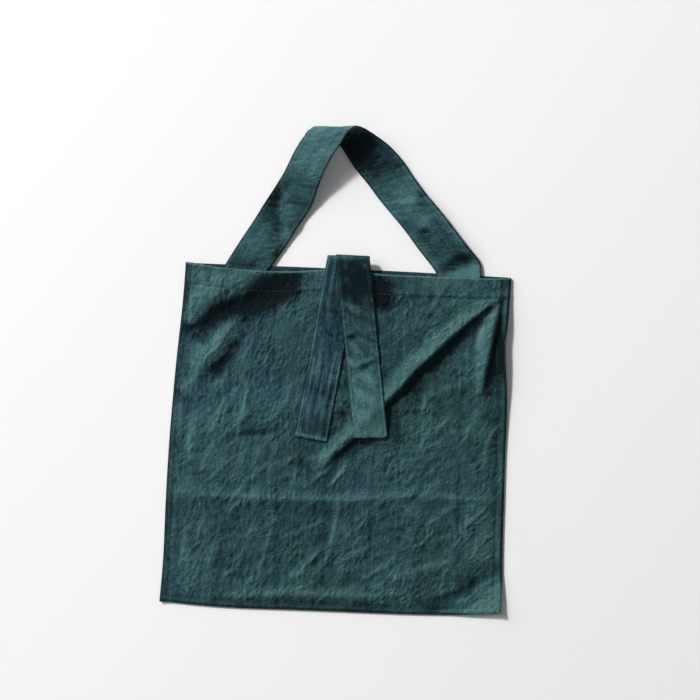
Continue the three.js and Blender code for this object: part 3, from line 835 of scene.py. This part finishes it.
def sweepEdge(name, stations, profile, heights, material, wearAndShading=0.0):
    # A closed strip along an edge. Each profile point is (outwards, up, wear and painted light and
    # shade); heights adds what the place itself stands at. The stations are (x, y, outwards x, outwards y).
    outline = np.asarray(profile, float)
    count, size = len(stations), len(outline)
    x, y = (stations[:, None, k] + outline[None, :, 0] * stations[:, None, k + 2] for k in (0, 1))
    points = np.stack([x, y, outline[None, :, 1] + heights(x, y)], -1).reshape(-1, 3)
    faces = []
    for i in range(count - 1):
        for k in range(size):
            a, b = i * size + k, i * size + (k + 1) % size
            faces.append([a, a + size, b + size, b])
    faces += [list(range(size)), list(range(count * size - 1, (count - 1) * size - 1, -1))]
    flat = np.stack(np.broadcast_arrays(runAlong(stations[:, :2])[:, None], runAlong(outline[:, :2])), -1)
    wearAndLight = np.broadcast_to(outline[None, :, 2], (count, size)) + wearAndShading
    piece = makePiece(name, points, faces, flat.reshape(-1, 2), wearAndLight, material)
    piece.data.set_sharp_from_angle(angle=math.radians(70))
    return piece


# The sewn edge: two rolls of cloth that meet in the seam, and the strip of turned-in cloth behind. The
# roll's outer side and the groove inside it are painted shade, and its top a faint painted highlight.
seam = {
    "spacing": 3.0,
    "turned": (1.8, 3.0),  # painted light where the corner turns up to face the lamp: how much paler, and from what height on
    "profile": [(-9.0, 0.95, 0), (-1.7, 0.9, 0), (-1.5, 0.1, 0), (-0.7, 0.06, -0.6), (-0.15, 0.3, -1),
                (0.08, 0.75, -1), (-0.35, 1.2, -1.3), (0.1, 1.6, -1.4), (0.05, 2.05, -1.4), (-0.4, 2.5, -1.3),
                (-1.0, 2.74, -1.0), (-1.6, 2.8, 0.1), (-2.2, 2.66, 0.3), (-2.7, 2.3, -0.6), (-2.4, 1.8, 0),
                (-9.0, 1.65, 0)],
}


def alongEdge(name, start, end, spacing):
    # places along an edge, and unit directions to the right hand of someone who walks along it
    at = np.linspace(start, end, 1 + round(abs(end - start) / spacing))
    line = edgeLine(name, at)
    places = np.stack([line, at] if name in bag["sides"] else [at, line], -1)
    step = np.gradient(places, axis=0)
    step /= np.linalg.norm(step, axis=1)[:, None]
    return np.stack([*places.T, step[:, 1], -step[:, 0]], -1)


def makeSeam(name, edge, start, end):
    stations = alongEdge(edge, start, end, seam["spacing"])
    pale, full = seam["turned"]
    # painted light on the seam where the corner turns up to face the lamp
    wearAndShading = pale * ease(cornerLift(*stations[:, :2].T) / full)[:, None]
    return sweepEdge(name, stations, seam["profile"], liftAt, finishes["panel"], wearAndShading)


seams = [
    makeSeam("left_seam", "leftEdge", 187.2, -190.0),
    makeSeam("bottom_seam_edge", "bottomEdge", -190.0, 188.6),
    makeSeam("right_seam", "rightEdge", -185.0, 187.2),
]

# Hems: the rounded edge of the mouth and the layer turned inwards from it. The back's edge and the
# front's underside are painted shade, and the front's rounded edge is pale.
hem = {
    "spacing": 2.0,
    "ends": (180.0, -177.6),
    "back": [(-21.5, 0.95, -1), (-1.6, 0.95, -1), (-1.4, 0.06, -1), (-0.7, 0.06, -1.2), (-0.15, 0.45, -1.3),
             (0.0, 1.0, -1.3), (-0.45, 1.6, -1.1), (-1.4, 1.85, 0.2), (-2.6, 1.85, -0.3), (-21.5, 1.8, -0.8)],
    "front": [(-20.5, -2.0, 0), (-1.5, -2.0, 0), (0.5, -1.75, -0.6), (1.05, -1.2, 0.2), (1.0, -0.5, 1.2),
              (0.55, 0.0, 1.3), (-0.4, 0.14, 1.1), (-1.1, 0.06, 0.3), (-0.6, -0.3, 0), (-0.6, -1.1, 0),
              (-20.5, -1.2, 0)],
}


def makeHem(name, mouth, profile, heights, finish):
    return sweepEdge(name, alongEdge(mouth, *hem["ends"], hem["spacing"]), profile, heights, finish)


frontHem = makeHem("front_hem_fold", "frontMouth", hem["front"], sampleFront, finishes["panel"])
backHem = makeHem("back_hem_fold", "backMouth", hem["back"], liftAt, finishes["inside"])
say("seams and hems made")


# Bands of folded cloth are thinner towards their long edges, and have a pale line beside them. Shares
# of half the width, but thinnest is one of the thickness.
band = {"rounded": 0.09, "thinnest": 0.16, "line": 0.12, "lineReach": 0.05}


def edgeWear(wearAndShading, u, pale, deep, reach):
    # a pale line along a band's edges, and painted shade at them where they roll under
    edge = 1 - np.abs(u)
    return wearAndShading + pale * bell(edge - band["line"], band["lineReach"]) - deep * ease(1 - edge / reach)


def strap(name, middle, thickness, flat, finish, wearAndShading):
    # a flat band round a surface of points
    c = np.abs(np.linspace(-1, 1, middle.shape[1]))[None, :, None]
    into = np.clip((c - (1 - band["rounded"])) / band["rounded"], 0, 1)
    half = thickness / 2 * np.maximum(np.sqrt(1 - into**2), band["thinnest"])
    normal = normalsOf(middle)
    wearAndShading = np.clip(wearAndShading, *wearAndShadingLimits)
    return shell(name, middle + normal * half, middle - normal * half, flat, finishes[finish], wearAndShading)


# The handle: places on its left and right edges with their heights, from its left end over the
# bend to its right end.
handle = {
    "edges": [
        (-146, 168.5, 2.9, -96, 168.5, 2.9), (-137.5, 184, 2.9, -89.5, 181.5, 3.0),
        (-129, 199.5, 2.7, -84.0, 188.5, 3.0), (-120.9, 213.6, 2.5, -78.0, 197.5, 3.0),
        (-109.8, 231.9, 2.5, -69.8, 210.3, 3.0), (-98.8, 251.3, 2.6, -58.4, 230.6, 3.2),
        (-91.2, 264.9, 3.0, -48.8, 246.0, 3.8), (-84.8, 275.6, 4.0, -42.8, 257.4, 6.0),
        (-75.6, 291.9, 6.0, -36.6, 277.4, 12.8), (-65.2, 315.4, 9.0, -28.6, 298.0, 20.4),
        (-55.4, 331.6, 11.5, -14.4, 322.8, 26.4), (-49.6, 339.6, 12.2, -4.0, 339.0, 30.0),
        (-45.0, 342.0, 11.0, 1.2, 342.3, 29.4), (-36.2, 340.2, 7.4, 6.0, 343.0, 26.6),
        (-26.0, 334.1, 5.0, 10.6, 342.4, 21.6), (-16.6, 326.2, 3.8, 16.2, 340.4, 16.2),
        (-7.8, 314.9, 2.7, 25.2, 335.6, 12.6), (1.4, 301.8, 2.2, 39.0, 326.8, 8.0),
        (17.4, 283.7, 2.1, 53.8, 312.6, 4.0), (31.8, 266.2, 3.0, 69.0, 292.6, 3.6),
        (45.8, 250.7, 4.0, 83.8, 274.4, 6.4), (60.2, 234.7, 5.6, 101.0, 255.2, 8.0),
        (77.4, 213.3, 6.0, 121.2, 231.2, 8.4), (86.4, 203.0, 4.6, 133.0, 217.2, 8.8),
        (93.2, 195.4, 3.3, 142.4, 208.2, 5.6), (97.6, 189.4, 3.0, 147.2, 200.6, 3.0),
        (100.0, 181.6, 3.4, 148.2, 186.8, 4.4), (101, 168.5, 2.9, 148.4, 168.5, 3.1),
    ],
    "thickness": 1.8,
    "half": 21,  # of its width
    "across": 34,
    "along": 430,
    "stitchIn": 2.6,
    "groove": (0.16, 0.8),  # that its stitches pull: depth and reach
    "ends": (6, 30, 0.25),  # flat ends: how long, how soon they pass into the rest, and their share of relief
    "edgeWear": (0.5, 1.6, 0.09),
    # random fields: a height and what wrinkleField takes
    "wrinkles": [(0.30, 26, 40, 1.7, 51, 0.3), (0.14, 11, 35, 2.4, 52, 0.3, True), (0.10, 5.5, 20, 2.4, 53, 0.3)],
    # creases across it: place along it, height, slant and width
    "creases": [
        (80, -1.5, -29, 11), (104, 0.6, -20, 6), (150, 0.4, 6, 6), (168, -0.4, -5, 7),
        (262, 0.25, 9, 8), (274, -0.3, 8, 7), (296, 0.25, 10, 6), (318, 0.8, 10, 4), (326, -0.8, 10, 3.5),
        (342, 0.7, 12, 4), (358, -0.8, -10, 5), (372, 0.6, -12, 5), (382, -0.7, 8, 5), (404, -1.3, -7, 5),
        (417, 1.5, -8, 5),
    ],
    # painted shade and painted light, such as the left leg's shadow on the right leg past the bend: place
    # along it, place across from -1 to 1, reach each way and amount
    "shades": [
        (10, 0.2, 6, 1.4, 0.7), (22, -0.3, 7, 1.2, -0.8), (46, 0.85, 12, 0.3, -1.2), (70, 0.1, 10, 0.4, -0.5),
        (72, 0.75, 8, 0.4, 0.4), (84, 0.9, 8, 0.3, -0.7), (102, -0.85, 26, 0.4, -1.3),
        (82, -0.45, 10, 0.4, -0.7), (94, 0.1, 9, 0.35, 0.6), (150, 0.45, 16, 0.3, 0.4), (176, 0.0, 34, 1.6, 0.5),
        (203, -0.6, 12, 0.6, 1.1), (203, 0.8, 7, 0.4, 1.1), (211, 0.0, 6, 0.5, 0.8),
        (238, -0.1, 20, 2.0, -1.3), (262, -0.5, 20, 0.9, -0.75), (274, 0.5, 12, 0.7, -0.5), (312, 0.3, 16, 1.2, 0.6),
        (322, 0.0, 14, 0.6, 0.5), (322, 0.85, 6, 0.3, -1.5), (346, -0.8, 8, 0.3, -0.5), (346, -0.3, 8, 0.3, 0.8),
        (358, -0.4, 6, 0.3, -0.4), (370, 0.05, 12, 0.7, -0.45),
        (404, 0.4, 11, 0.8, -0.6), (419, 0.6, 9, 0.7, 1.3), (430, 0.2, 10, 1.0, 0.6),
    ],
}


def handleSurface():
    edges = np.array(handle["edges"], float)
    sides = edges[:, :3], edges[:, 3:]
    at = runAlong((sides[0] + sides[1]) / 2)
    length = at[-1]
    fine = np.linspace(0, length, handle["along"])
    # edges that were read off are evened out along their length
    left, right = (blur(smoothLine(at, side, fine), 2, axes=(0,))[:, None, :] for side in sides)
    surface = blendTo(left, right, np.linspace(0, 1, handle["across"])[None, :, None])
    u, v = np.linspace(-1, 1, handle["across"])[None, :], fine[:, None]
    step = length / handle["along"]
    relief = rumple(surface.shape[:2], step, handle["wrinkles"])
    for place, size, lean, width in handle["creases"]:
        relief = relief + size * bell(v - place - lean * u, width) * (1 - 0.5 * u * u)
    flatEnd, ramp, least = handle["ends"]
    relief = relief * blendTo(least, 1.0, ease((v - flatEnd) / ramp) * ease((length - flatEnd - v) / ramp))
    depth, reach = handle["groove"]
    groove = -depth * bell((1 - np.abs(u)) * handle["half"] - handle["stitchIn"], reach)
    # wear on crests, painted shade in hollows and at the edges, and the painted shading listed above
    wearAndShading = paintShading(handle["shades"], v, u, edgeWear(0.7 * wearAndShadingOf(relief, step), u, *handle["edgeWear"]))
    flat = np.stack(np.broadcast_arrays(u * handle["half"], v), -1)
    return surface + normalsOf(surface) * (relief + groove)[..., None], flat, wearAndShading, length


handleMiddle, handleFlat, handleWearAndShading, handleLength = handleSurface()
handleBand = strap("handle_band", handleMiddle, handle["thickness"], handleFlat, "handle", handleWearAndShading)
say(f"handle made, {handleLength:.0f} mm along its middle")

# The ties: each comes out from behind the front hem, turns over and lies down the front.
ties = {
    "foldY": 200.0, "foldZ": 11.15, "width": 37.2, "thickness": 1.1, "sewnTo": 167.0, "across": 30,
    "clear": 0.14, "step": 1.4,
    "sewnRows": 25, "turnRows": 12, "drapeRounds": 28,
    "held": 34,  # how far down from the fold the turn holds the tail up
    "turnEnd": 9,  # and how far down it still lies where the turn left it
    "innerLine": (0.5, 0.22, 0.04),  # deeper colour along the inner side of the pale line
    "cutEdgeTones": (1.2, 0.9),  # of the cut end: paler beside it, and deeper at it, which is painted shade
    # a painted highlight on the turn over the mouth: how much, how much less to the right, and its reach in rows
    "turnHighlight": (1.2, 0.6, 2.4),
    "wrinkles": [(0.15, 9, 50, 2.0, 64, 0.3, True), (0.10, 6, 60, 2.0, 63, 0.3)],
}

# Soft pleats along a band: how they wander, their waves, and how uneven they are.
pleats = {
    "wander": [(0.10, 31.0, 0.0), (0.06, 13.0, 1.3)],
    "waves": [(0.38, 5.0, 1, 0.0), (0.22, 9.0, -1, 0.8)],
    "uneven": (0.7, 0.3, 24.0, 2.0),
}

# Creases: how far down from the fold, place across, height, slant, width and reach across. Painted
# shading, mostly painted shade and painted light: how far down, place across, reach each way and
# amount. Stitches: inset, and whether from the right.
# Tacks, in rows of zigzag at the end: first and last column and how many turns.
lowerSettings = {
    "x": -4.3, "lean": -7.7, "length": 203.5, "radius": 1.75, "rise": 2.2, "bow": 0.0, "pleated": True,
    "edgeWear": (0.95, 1.3, 0.08),
    "wrinkles": [(0.22, 16, 80, 2.4, 61, 0.3)],
    "creases": [(85, 0.6, -0.6, -5, 2.2, 0.4), (89, 0.5, 0.5, -5, 2.4, 0.4), (150, 0.0, -0.4, 6, 3.0, 0.9)],
    "shades": [(148, 0.0, 9, 1.4, -0.5), (124, 0.2, 16, 1.2, 0.4), (168, -0.2, 9, 1.0, 0.3),
               (58, 0.1, 22, 1.2, -0.3), (12, 0.0, 14, 1.4, 0.2), (188, 0.3, 10, 0.6, -0.4),
               (92, 0.8, 30, 0.3, -0.4)],
    "stitches": [(4.6, False), (1.8, True)],
    "tacks": [(0.6, 5.5, 16), (19.5, 24.4, 16), (6, 19, 12)],
}
upperSettings = {
    "x": 5.0, "lean": 8.5, "length": 197.0, "radius": 2.9, "rise": 2.6, "bow": 3.3, "pleated": False,
    "edgeWear": (0.6, 1.3, 0.08),
    "wrinkles": [(0.24, 20, 35, 1.8, 62, 0.3)],
    # it is rumpled where it turns over the mouth: a height, what wrinkleField takes, and to where
    "turnWrinkles": (0.16, (13, 62, 1.6, 66, 0.3), 64, 20),
    "creases": [(83, -0.6, 0.6, -7, 2.4, 0.4), (87.5, -0.6, -0.9, -7, 2.2, 0.4), (103, -0.4, 0.5, 8, 2.4, 0.5),
                (114, 0.2, 0.6, -6, 2.6, 0.7), (119, 0.2, -1.0, -6, 2.2, 0.7), (128, -0.5, -0.5, -8, 2.2, 0.4),
                (60, 0.2, 0.4, 8, 3.0, 0.9), (66, 0.1, -0.4, 8, 3.0, 0.9)],
    "shades": [(30, 0.3, 22, 1.2, -0.4), (119, 0.3, 2.2, 0.8, -0.4), (87, -0.6, 2.2, 0.35, -0.4),
               (156, -0.1, 11, 1.1, -0.35), (190, 0.3, 12, 1.4, 0.9), (192, 0.85, 8, 0.3, 0.6)],
    "stitches": [(1.8, False), (4.2, True)],
    "tacks": [(0.6, 24.4, 30)],
}


def tiePlan(tie, v, u):
    # places on the tail, v down from the fold and u from -1 to 1 across
    lean = math.radians(tie["lean"])
    half = ties["width"] / 2
    tipX = tie["x"] + math.sin(lean) * tie["length"]
    tipY = ties["foldY"] - math.cos(lean) * tie["length"]
    # the cut end isn't quite straight
    share = v / tie["length"]
    bow = tie["bow"] * np.minimum((u + 1) / 1.8, (1.05 - u) / 0.25)
    share = share + bow / tie["length"] * ease((share - 0.7) / 0.3)
    x = blendTo(tie["x"] + u * (half / math.cos(lean)), tipX + u * (math.cos(lean) * half), share)
    y = blendTo(ties["foldY"], tipY + u * (math.sin(lean) * half), share)
    return x, y


def drape(ground):
    # the lowest smooth sheet that stays above the ground
    soft = ground
    for _ in range(ties["drapeRounds"]):
        soft = np.maximum(blur(soft, 2), ground)
    return blur(soft, 1)


def raisedBy(other, otherZ, x, y, ground):
    # the ground, higher where another tie already lies
    lean = math.radians(other["lean"])
    dx, dy = x - other["x"], y - ties["foldY"]
    down = dx * math.sin(lean) - dy * math.cos(lean)
    out = (dx * math.cos(lean) + dy * math.sin(lean)) / (ties["width"] / 2)
    inside = (np.abs(out) <= 1.06) & (down <= other["length"])
    column = (np.clip(out, -1, 1) + 1) / 2 * (otherZ.shape[1] - 1)
    row = np.clip(down, 0, other["length"]) / other["length"] * (otherZ.shape[0] - 1)
    lying = sampleGrid(otherZ, column, row) + ties["thickness"] / 2
    return np.where(inside, np.maximum(ground, lying), ground)


def tailHeights(tie, below, x, y, v):
    # the tail as it lies on the front and on the other tie, held up near its fold
    ground = sampleFront(x, np.minimum(y, edgeLine("frontMouth", x) - 0.5))
    if below is not None:
        ground = raisedBy(*below, x, y, ground)
    ground = ground + ties["clear"] + ties["thickness"] / 2
    start = ties["foldZ"] + tie["radius"]
    held = start + tie["rise"] * np.sin(np.pi * np.clip(v / ties["held"], 0, 1)) ** 2
    ground = np.maximum(ground, blendTo(ground, held, ease(1 - v / ties["held"])))
    ground[0] = start
    return blendTo(drape(ground), start, ease(1 - v / ties["turnEnd"]))


def tieSurface(tie, x, y, z, u):
    # the sewn end, the turn and the tail as one surface
    lean = math.radians(tie["lean"])
    half = ties["width"] / 2 / math.cos(lean)
    sewn, turned = ties["sewnRows"], ties["turnRows"]
    inY = np.linspace(ties["sewnTo"], ties["foldY"], sewn + 1)[:-1, None]
    inX = tie["x"] + (np.maximum(inY, 184.0) - ties["foldY"]) * math.tan(lean) + u * half
    turn = np.linspace(-90, 90, turned + 1)[:-1, None] * math.pi / 180
    turnY = ties["foldY"] + tie["radius"] * np.cos(turn)
    turnZ = ties["foldZ"] + tie["radius"] * np.sin(turn)
    rows = ((inX, inY, ties["foldZ"] - tie["radius"]), (tie["x"] + u * half, turnY, turnZ), (x, y, z))
    surface = np.concatenate([np.stack(np.broadcast_arrays(*row), -1) for row in rows])
    run = runAlong(surface[:, surface.shape[1] // 2])
    flat = np.stack(np.broadcast_arrays(u * ties["width"] / 2, run[:, None]), -1)
    shares = np.concatenate([np.zeros(sewn), np.linspace(0, 1, turned + 1)[:-1], np.ones(len(z))])
    return surface, flat, np.repeat(ease(shares), surface.shape[1])


def tieRelief(tie, v, u):
    shape = (v.shape[0], u.shape[1])
    relief = 0.0
    if tie["pleated"]:
        wander = sum(size * np.sin(v / long + start) for size, long, start in pleats["wander"])
        relief = sum(size * np.cos(math.pi * count * (u + side * wander) + start)
                     for size, count, side, start in pleats["waves"])
        usual, varied, long, start = pleats["uneven"]
        relief = relief * (usual + varied * np.sin(v / long + start))
    relief = rumple(shape, ties["step"], tie["wrinkles"], relief)
    if "turnWrinkles" in tie:
        size, kind, last, ramp = tie["turnWrinkles"]
        relief = relief + size * wrinkleField(shape, ties["step"], *kind) * ease((last - v) / ramp)
    for place, column, size, lean, width, wide in tie["creases"]:
        across = bell(u - column, wide)
        relief = relief + size * across * bell(v - place - lean * (u - column), width)
    relief = rumple(shape, ties["step"], ties["wrinkles"], relief) * ease(v / 10)
    return relief - relief.min() * 0.35


def makeTie(name, tie, below, finish):
    v = np.linspace(0, tie["length"], round(tie["length"] / ties["step"]) + 1)[:, None]
    u = np.linspace(-1, 1, ties["across"])[None, :]
    x, y = tiePlan(tie, v, u)
    relief = tieRelief(tie, v, u)
    z = tailHeights(tie, below, x, y, v) + relief
    surface, flat, shares = tieSurface(tie, x, y, z, u)
    wearAndShading = np.zeros(surface.shape[:2])
    wearAndShading[-len(v):] = paintShading(tie["shades"], v, u, wearAndShadingOf(relief * 1.3, ties["step"]))
    deep, inset, reach = ties["innerLine"]
    wearAndShading = edgeWear(wearAndShading, u, *tie["edgeWear"]) - deep * bell(1 - np.abs(u) - inset, reach)
    wearAndShading[-4:-1] += ties["cutEdgeTones"][0]
    wearAndShading[-1:] -= ties["cutEdgeTones"][1]
    # painted highlight where the turn over the mouth catches the light, most on the left
    pale, lessRight, reach = ties["turnHighlight"]
    top = ties["sewnRows"] + ties["turnRows"] - 1
    wearAndShading = wearAndShading + (pale - lessRight * u) * bell(np.arange(len(wearAndShading))[:, None] - top, reach)
    piece = strap(name, surface, ties["thickness"], flat, finish, wearAndShading)
    return piece, np.concatenate([shares, shares]), z, surface


lowerTie, lowerShares, lowerZ, lowerSurface = makeTie("lower_tie_band", lowerSettings, None, "lowerTie")
upperTie, upperShares, _, upperSurface = makeTie("upper_tie_band", upperSettings, (lowerSettings, lowerZ),
                                                 "upperTie")
say("ties made")


# Stitches follow a line of places, one small thread each, all from one node tree.
stitch = {"pitch": 3.1, "length": 2.1, "thickness": 0.62, "seed": 5}
sunk = 0.98  # how far out of a band its stitches lie, as a share of half its thickness
tieStitch = {"pitch": 2.6, "length": 1.9, "thickness": 0.6}


def stitchTree():
    tree = bpy.data.node_groups.new("run of stitches", "GeometryNodeTree")
    face = tree.interface
    inputs = (("Geometry", "Geometry", None), ("Pitch", "Float", 0.003), ("Length", "Float", 0.0023),
              ("Thickness", "Float", 0.0004), ("Seed", "Int", 1), ("Thread", "Material", None))
    for name, kind, value in inputs:
        socket = face.new_socket(name, in_out="INPUT", socket_type="NodeSocket" + kind)
        if value is not None:
            socket.default_value = value
    face.new_socket("Geometry", in_out="OUTPUT", socket_type="NodeSocketGeometry")
    make = Nodes(tree)
    given = tree.nodes.new("NodeGroupInput")
    path, pitch, length, thickness, seed, thread = (Wire(tree, socket) for socket in given.outputs[:6])
    curve = make.node("GeometryNodeMeshToCurve", {0: path})
    spaced = make.node("GeometryNodeResampleCurve", {"Curve": curve, "Length": pitch}, mode="LENGTH")
    tangent = make.node("GeometryNodeInputTangent")
    turned = make.node("FunctionNodeAlignRotationToVector", {"Vector": tangent}, axis="X")
    grain = make.node("GeometryNodeMeshUVSphere", {"Segments": 6, "Rings": 5, "Radius": 0.5})
    size = make.node("ShaderNodeCombineXYZ", {0: length, 1: thickness, 2: thickness})
    uneven = make.node("FunctionNodeRandomValue", {2: 0.86, 3: 1.12, "Seed": seed}, 1, data_type="FLOAT")
    scaled = make.node("ShaderNodeVectorMath", {0: size, "Scale": uneven}, operation="SCALE")
    placed = make.node("GeometryNodeInstanceOnPoints",
                       {"Points": spaced, "Instance": grain, "Rotation": turned, "Scale": scaled})
    smooth = make.node("GeometryNodeSetShadeSmooth", {0: placed})
    real = make.node("GeometryNodeRealizeInstances", {0: smooth})
    painted = make.node("GeometryNodeSetMaterial", {"Geometry": real, "Material": thread})
    make.node("NodeGroupOutput", {0: painted})
    return tree


stitches = stitchTree()


def sew(name, lines, **changes):
    # turns lines of places into a plain mesh of stitches
    sizes = {**stitch, **changes}
    points, edges = [], []
    for line in lines:
        first = len(points)
        points += (np.asarray(line, float) * mm).tolist()
        edges += [(first + k, first + k + 1) for k in range(len(line) - 1)]
    path = bpy.data.meshes.new(name + "_path")
    path.from_pydata(points, edges, [])
    guide = addObject(name + "_path", path)
    modifier = guide.modifiers.new("stitches", "NODES")
    modifier.node_group = stitches
    values = {key.capitalize(): sizes[key] * mm for key in ("pitch", "length", "thickness")}
    values.update(Seed=sizes["seed"], Thread=finishes["thread"])
    for item in stitches.interface.items_tree:
        if item.in_out == "INPUT" and item.name in values:
            modifier[item.identifier] = values[item.name]
    bpy.context.view_layer.update()
    mesh = bpy.data.meshes.new_from_object(guide.evaluated_get(bpy.context.evaluated_depsgraph_get()))
    bpy.data.objects.remove(guide)
    mesh.name = name
    writeFlat(mesh, pointsOf(mesh)[:, :2])
    return addObject(name, mesh)


def frontLines():
    # along the seams and the hem, a little above the cloth
    inside, lines = bag["stitchIn"], []
    kinds = (("leftEdge", -182, 183.5, inside["left"]), ("rightEdge", -182, 183.5, -inside["right"]),
             ("bottomEdge", -182, 178, inside["bottom"]), ("frontMouth", -177, 179, -bag["hemDepth"]))
    for edge, first, last, into in kinds:
        at = np.linspace(first, last, 260)
        line = edgeLine(edge, at) + into
        x, y = (line, at) if edge in bag["sides"] else (at, line)
        lines.append(np.stack([x, y, sampleFront(x, y) + 0.2], -1))
    return lines


def lineOn(surface, width, inset, fromRight, part, up):
    # part of a line along a band, at an inset from its left or right edge and a little off it
    last = surface.shape[1] - 1
    c = inset / width * last
    c = last - c if fromRight else c
    i = int(c)
    lifted = surface + normalsOf(surface) * up
    return blendTo(lifted[:, i], lifted[:, i + 1], c - i)[part]


def barTack(surface, low, high, times):
    # a dense zigzag of thread across a band's end
    lifted = surface - normalsOf(surface) * (ties["thickness"] / 2 + 0.05)
    line = []
    for k in range(times + 1):
        c = blendTo(low, high, k / times)
        i = int(min(c, surface.shape[1] - 2))
        row = lifted[-2 - k % 2]
        line.append(blendTo(row[i], row[i + 1], c - i))
    return np.array(line)


def tieLines(tie, surface):
    up = -ties["thickness"] / 2 * sunk
    lines = [lineOn(surface, ties["width"], *place, slice(6, -2), up) for place in tie["stitches"]]
    return lines + [barTack(surface, *tack) for tack in tie["tacks"]]


def bendLike(piece, model, shares):
    # each point of a piece sewn on a band takes the share of the nearest place of the band; bendBy
    # doesn't use the shares and only bakes the piece in place
    tree = KDTree(len(model.data.vertices))
    for k, vertex in enumerate(model.data.vertices):
        tree.insert(vertex.co, k)
    tree.balance()
    mine = [shares[tree.find(vertex.co)[1]] for vertex in piece.data.vertices]
    bendBy(piece, mine)


frontStitches = sew("front_stitches", frontLines())
backSewing = {"from": -176, "to": 178, "below": 18.5, "height": 1.95, "liftedAsAt": 168}
backX = np.linspace(backSewing["from"], backSewing["to"], 200)
backLine = np.stack([backX, edgeLine("backMouth", backX) - backSewing["below"],
                     backSewing["height"] + liftAt(backX, backSewing["liftedAsAt"])], -1)
backStitches = sew("back_hem_stitches", [backLine])
handleLines = [lineOn(handleMiddle, 2 * handle["half"], handle["stitchIn"], fromRight, slice(4, -4),
                      side * handle["thickness"] / 2 * sunk)
               for fromRight in (False, True) for side in (1, -1)]
handleStitches = sew("handle_stitches", handleLines, thickness=0.45)
lowerStitches = sew("lower_tie_stitches", tieLines(lowerSettings, lowerSurface), **tieStitch)
upperStitches = sew("upper_tie_stitches", tieLines(upperSettings, upperSurface), **tieStitch)
say("stitches made")

bendWithFront(frontCloth)
bendWithFront(frontHem)
bendWithFront(frontStitches)
for piece in [backCloth, backHem, backStitches, *seams]:
    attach(piece, "bag")
for piece in (handleBand, handleStitches):
    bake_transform(piece)
bendLike(lowerStitches, lowerTie, lowerShares)
bendLike(upperStitches, upperTie, upperShares)
bendBy(lowerTie, lowerShares)
bendBy(upperTie, upperShares)

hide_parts("front_panel")
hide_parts("front_hem")
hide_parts("back_panel")
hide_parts("back_hem")
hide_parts("left_side_seam")
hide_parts("bottom_seam")
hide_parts("right_side_seam")
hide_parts("handle", "handle_left_end", "handle_right_end")
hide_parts("lower_tie", "lower_tie_end")
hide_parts("upper_tie", "upper_tie_end")

# The table, the light and the camera.
studio = {
    "floorColour": (0.93, 0.93, 0.935, 1),
    "background": (0.94, 0.94, 0.945, 1),
    "floorReach": 3.0,
    "floorHeight": -0.0002,
    "floorFade": (0.8, 1.7),  # from here to there the table turns into the background
    "fill": 0.20,
    "fillColour": (0.97, 0.985, 1.0, 1),
    "lampColour": (1.0, 0.995, 0.985),
    # each lamp's direction from the bag, distance, size and how bright it alone makes a white table
    "lamps": {
        "key": ((-0.62, 0.54, 0.60), 9.0, 1.2, 0.53),
        "window": ((-0.80, 0.42, 0.42), 5.5, 5.2, 0.29),
    },
    "cameraPlace": (0.00685, 0.0988, 1.5),
    "cameraRoll": 2.8,
    "sensor": 36,
    "viewWidth": 0.7777,  # what the picture's width covers on the table
}


def makeFloor():
    reach, low = studio["floorReach"], studio["floorHeight"]
    mesh = bpy.data.meshes.new("floor")
    mesh.from_pydata([(x * reach, y * reach, low) for x, y in ((-1, -1), (1, -1), (1, 1), (-1, 1))], [],
                     [(0, 1, 2, 3)])
    material = bpy.data.materials.new("pale table")
    material.use_nodes = True
    make = Nodes(material.node_tree)
    near = make.node("ShaderNodeBsdfDiffuse", {"Color": studio["floorColour"]})
    far = make.node("ShaderNodeEmission", {"Color": studio["background"], "Strength": 1.0})
    place = make.node("ShaderNodeTexCoord", output=3)
    away = make.node("ShaderNodeVectorMath", {"Vector": place}, 1, operation="LENGTH")
    surface = make.node("ShaderNodeMixShader", {0: make.limits(away, *studio["floorFade"]), 1: near, 2: far})
    make.node("ShaderNodeOutputMaterial", {"Surface": surface})
    mesh.materials.append(material)
    addObject("floor", mesh)


def makeWorld():
    world = bpy.data.worlds.new("studio")
    bpy.context.scene.world = world
    world.use_nodes = True
    make = Nodes(world.node_tree)
    camera, glossy, through = (make.node("ShaderNodeLightPath", output=kind) for kind in
                               ("Is Camera Ray", "Is Glossy Ray", "Is Transmission Ray"))
    seen = camera.maths("MAXIMUM", glossy).maths("MAXIMUM", through)
    fill = make.node("ShaderNodeBackground", {"Color": studio["fillColour"], "Strength": studio["fill"]})
    background = make.node("ShaderNodeBackground", {"Color": studio["background"], "Strength": 1.0})
    surface = make.node("ShaderNodeMixShader", {0: seen, 1: fill, 2: background})
    make.node("ShaderNodeOutputWorld", {"Surface": surface})


def makeLamp(name, place, distance, size, level):
    direction = np.array(place) / np.linalg.norm(place)
    light = bpy.data.lights.new(name, "AREA")
    light.shape = "DISK"
    light.size = size
    light.energy = level * math.pi**2 * distance**2 / direction[2]
    light.color = studio["lampColour"]
    lamp = addObject(name, light)
    lamp.location = direction * distance
    lamp.rotation_mode = "QUATERNION"
    lamp.rotation_quaternion = Vector(-direction).to_track_quat("-Z", "Y")


def makeCamera():
    data = bpy.data.cameras.new("camera")
    data.sensor_width = studio["sensor"]
    data.lens = studio["sensor"] * studio["cameraPlace"][2] / studio["viewWidth"]
    camera = addObject("camera", data)
    camera.location = studio["cameraPlace"]
    camera.rotation_euler = (0, 0, math.radians(studio["cameraRoll"]))
    bpy.context.scene.camera = camera


makeFloor()
makeWorld()
for name, settings in studio["lamps"].items():
    makeLamp(name, *settings)
makeCamera()
bpy.context.scene.view_settings.view_transform = "Standard"
say("studio made")
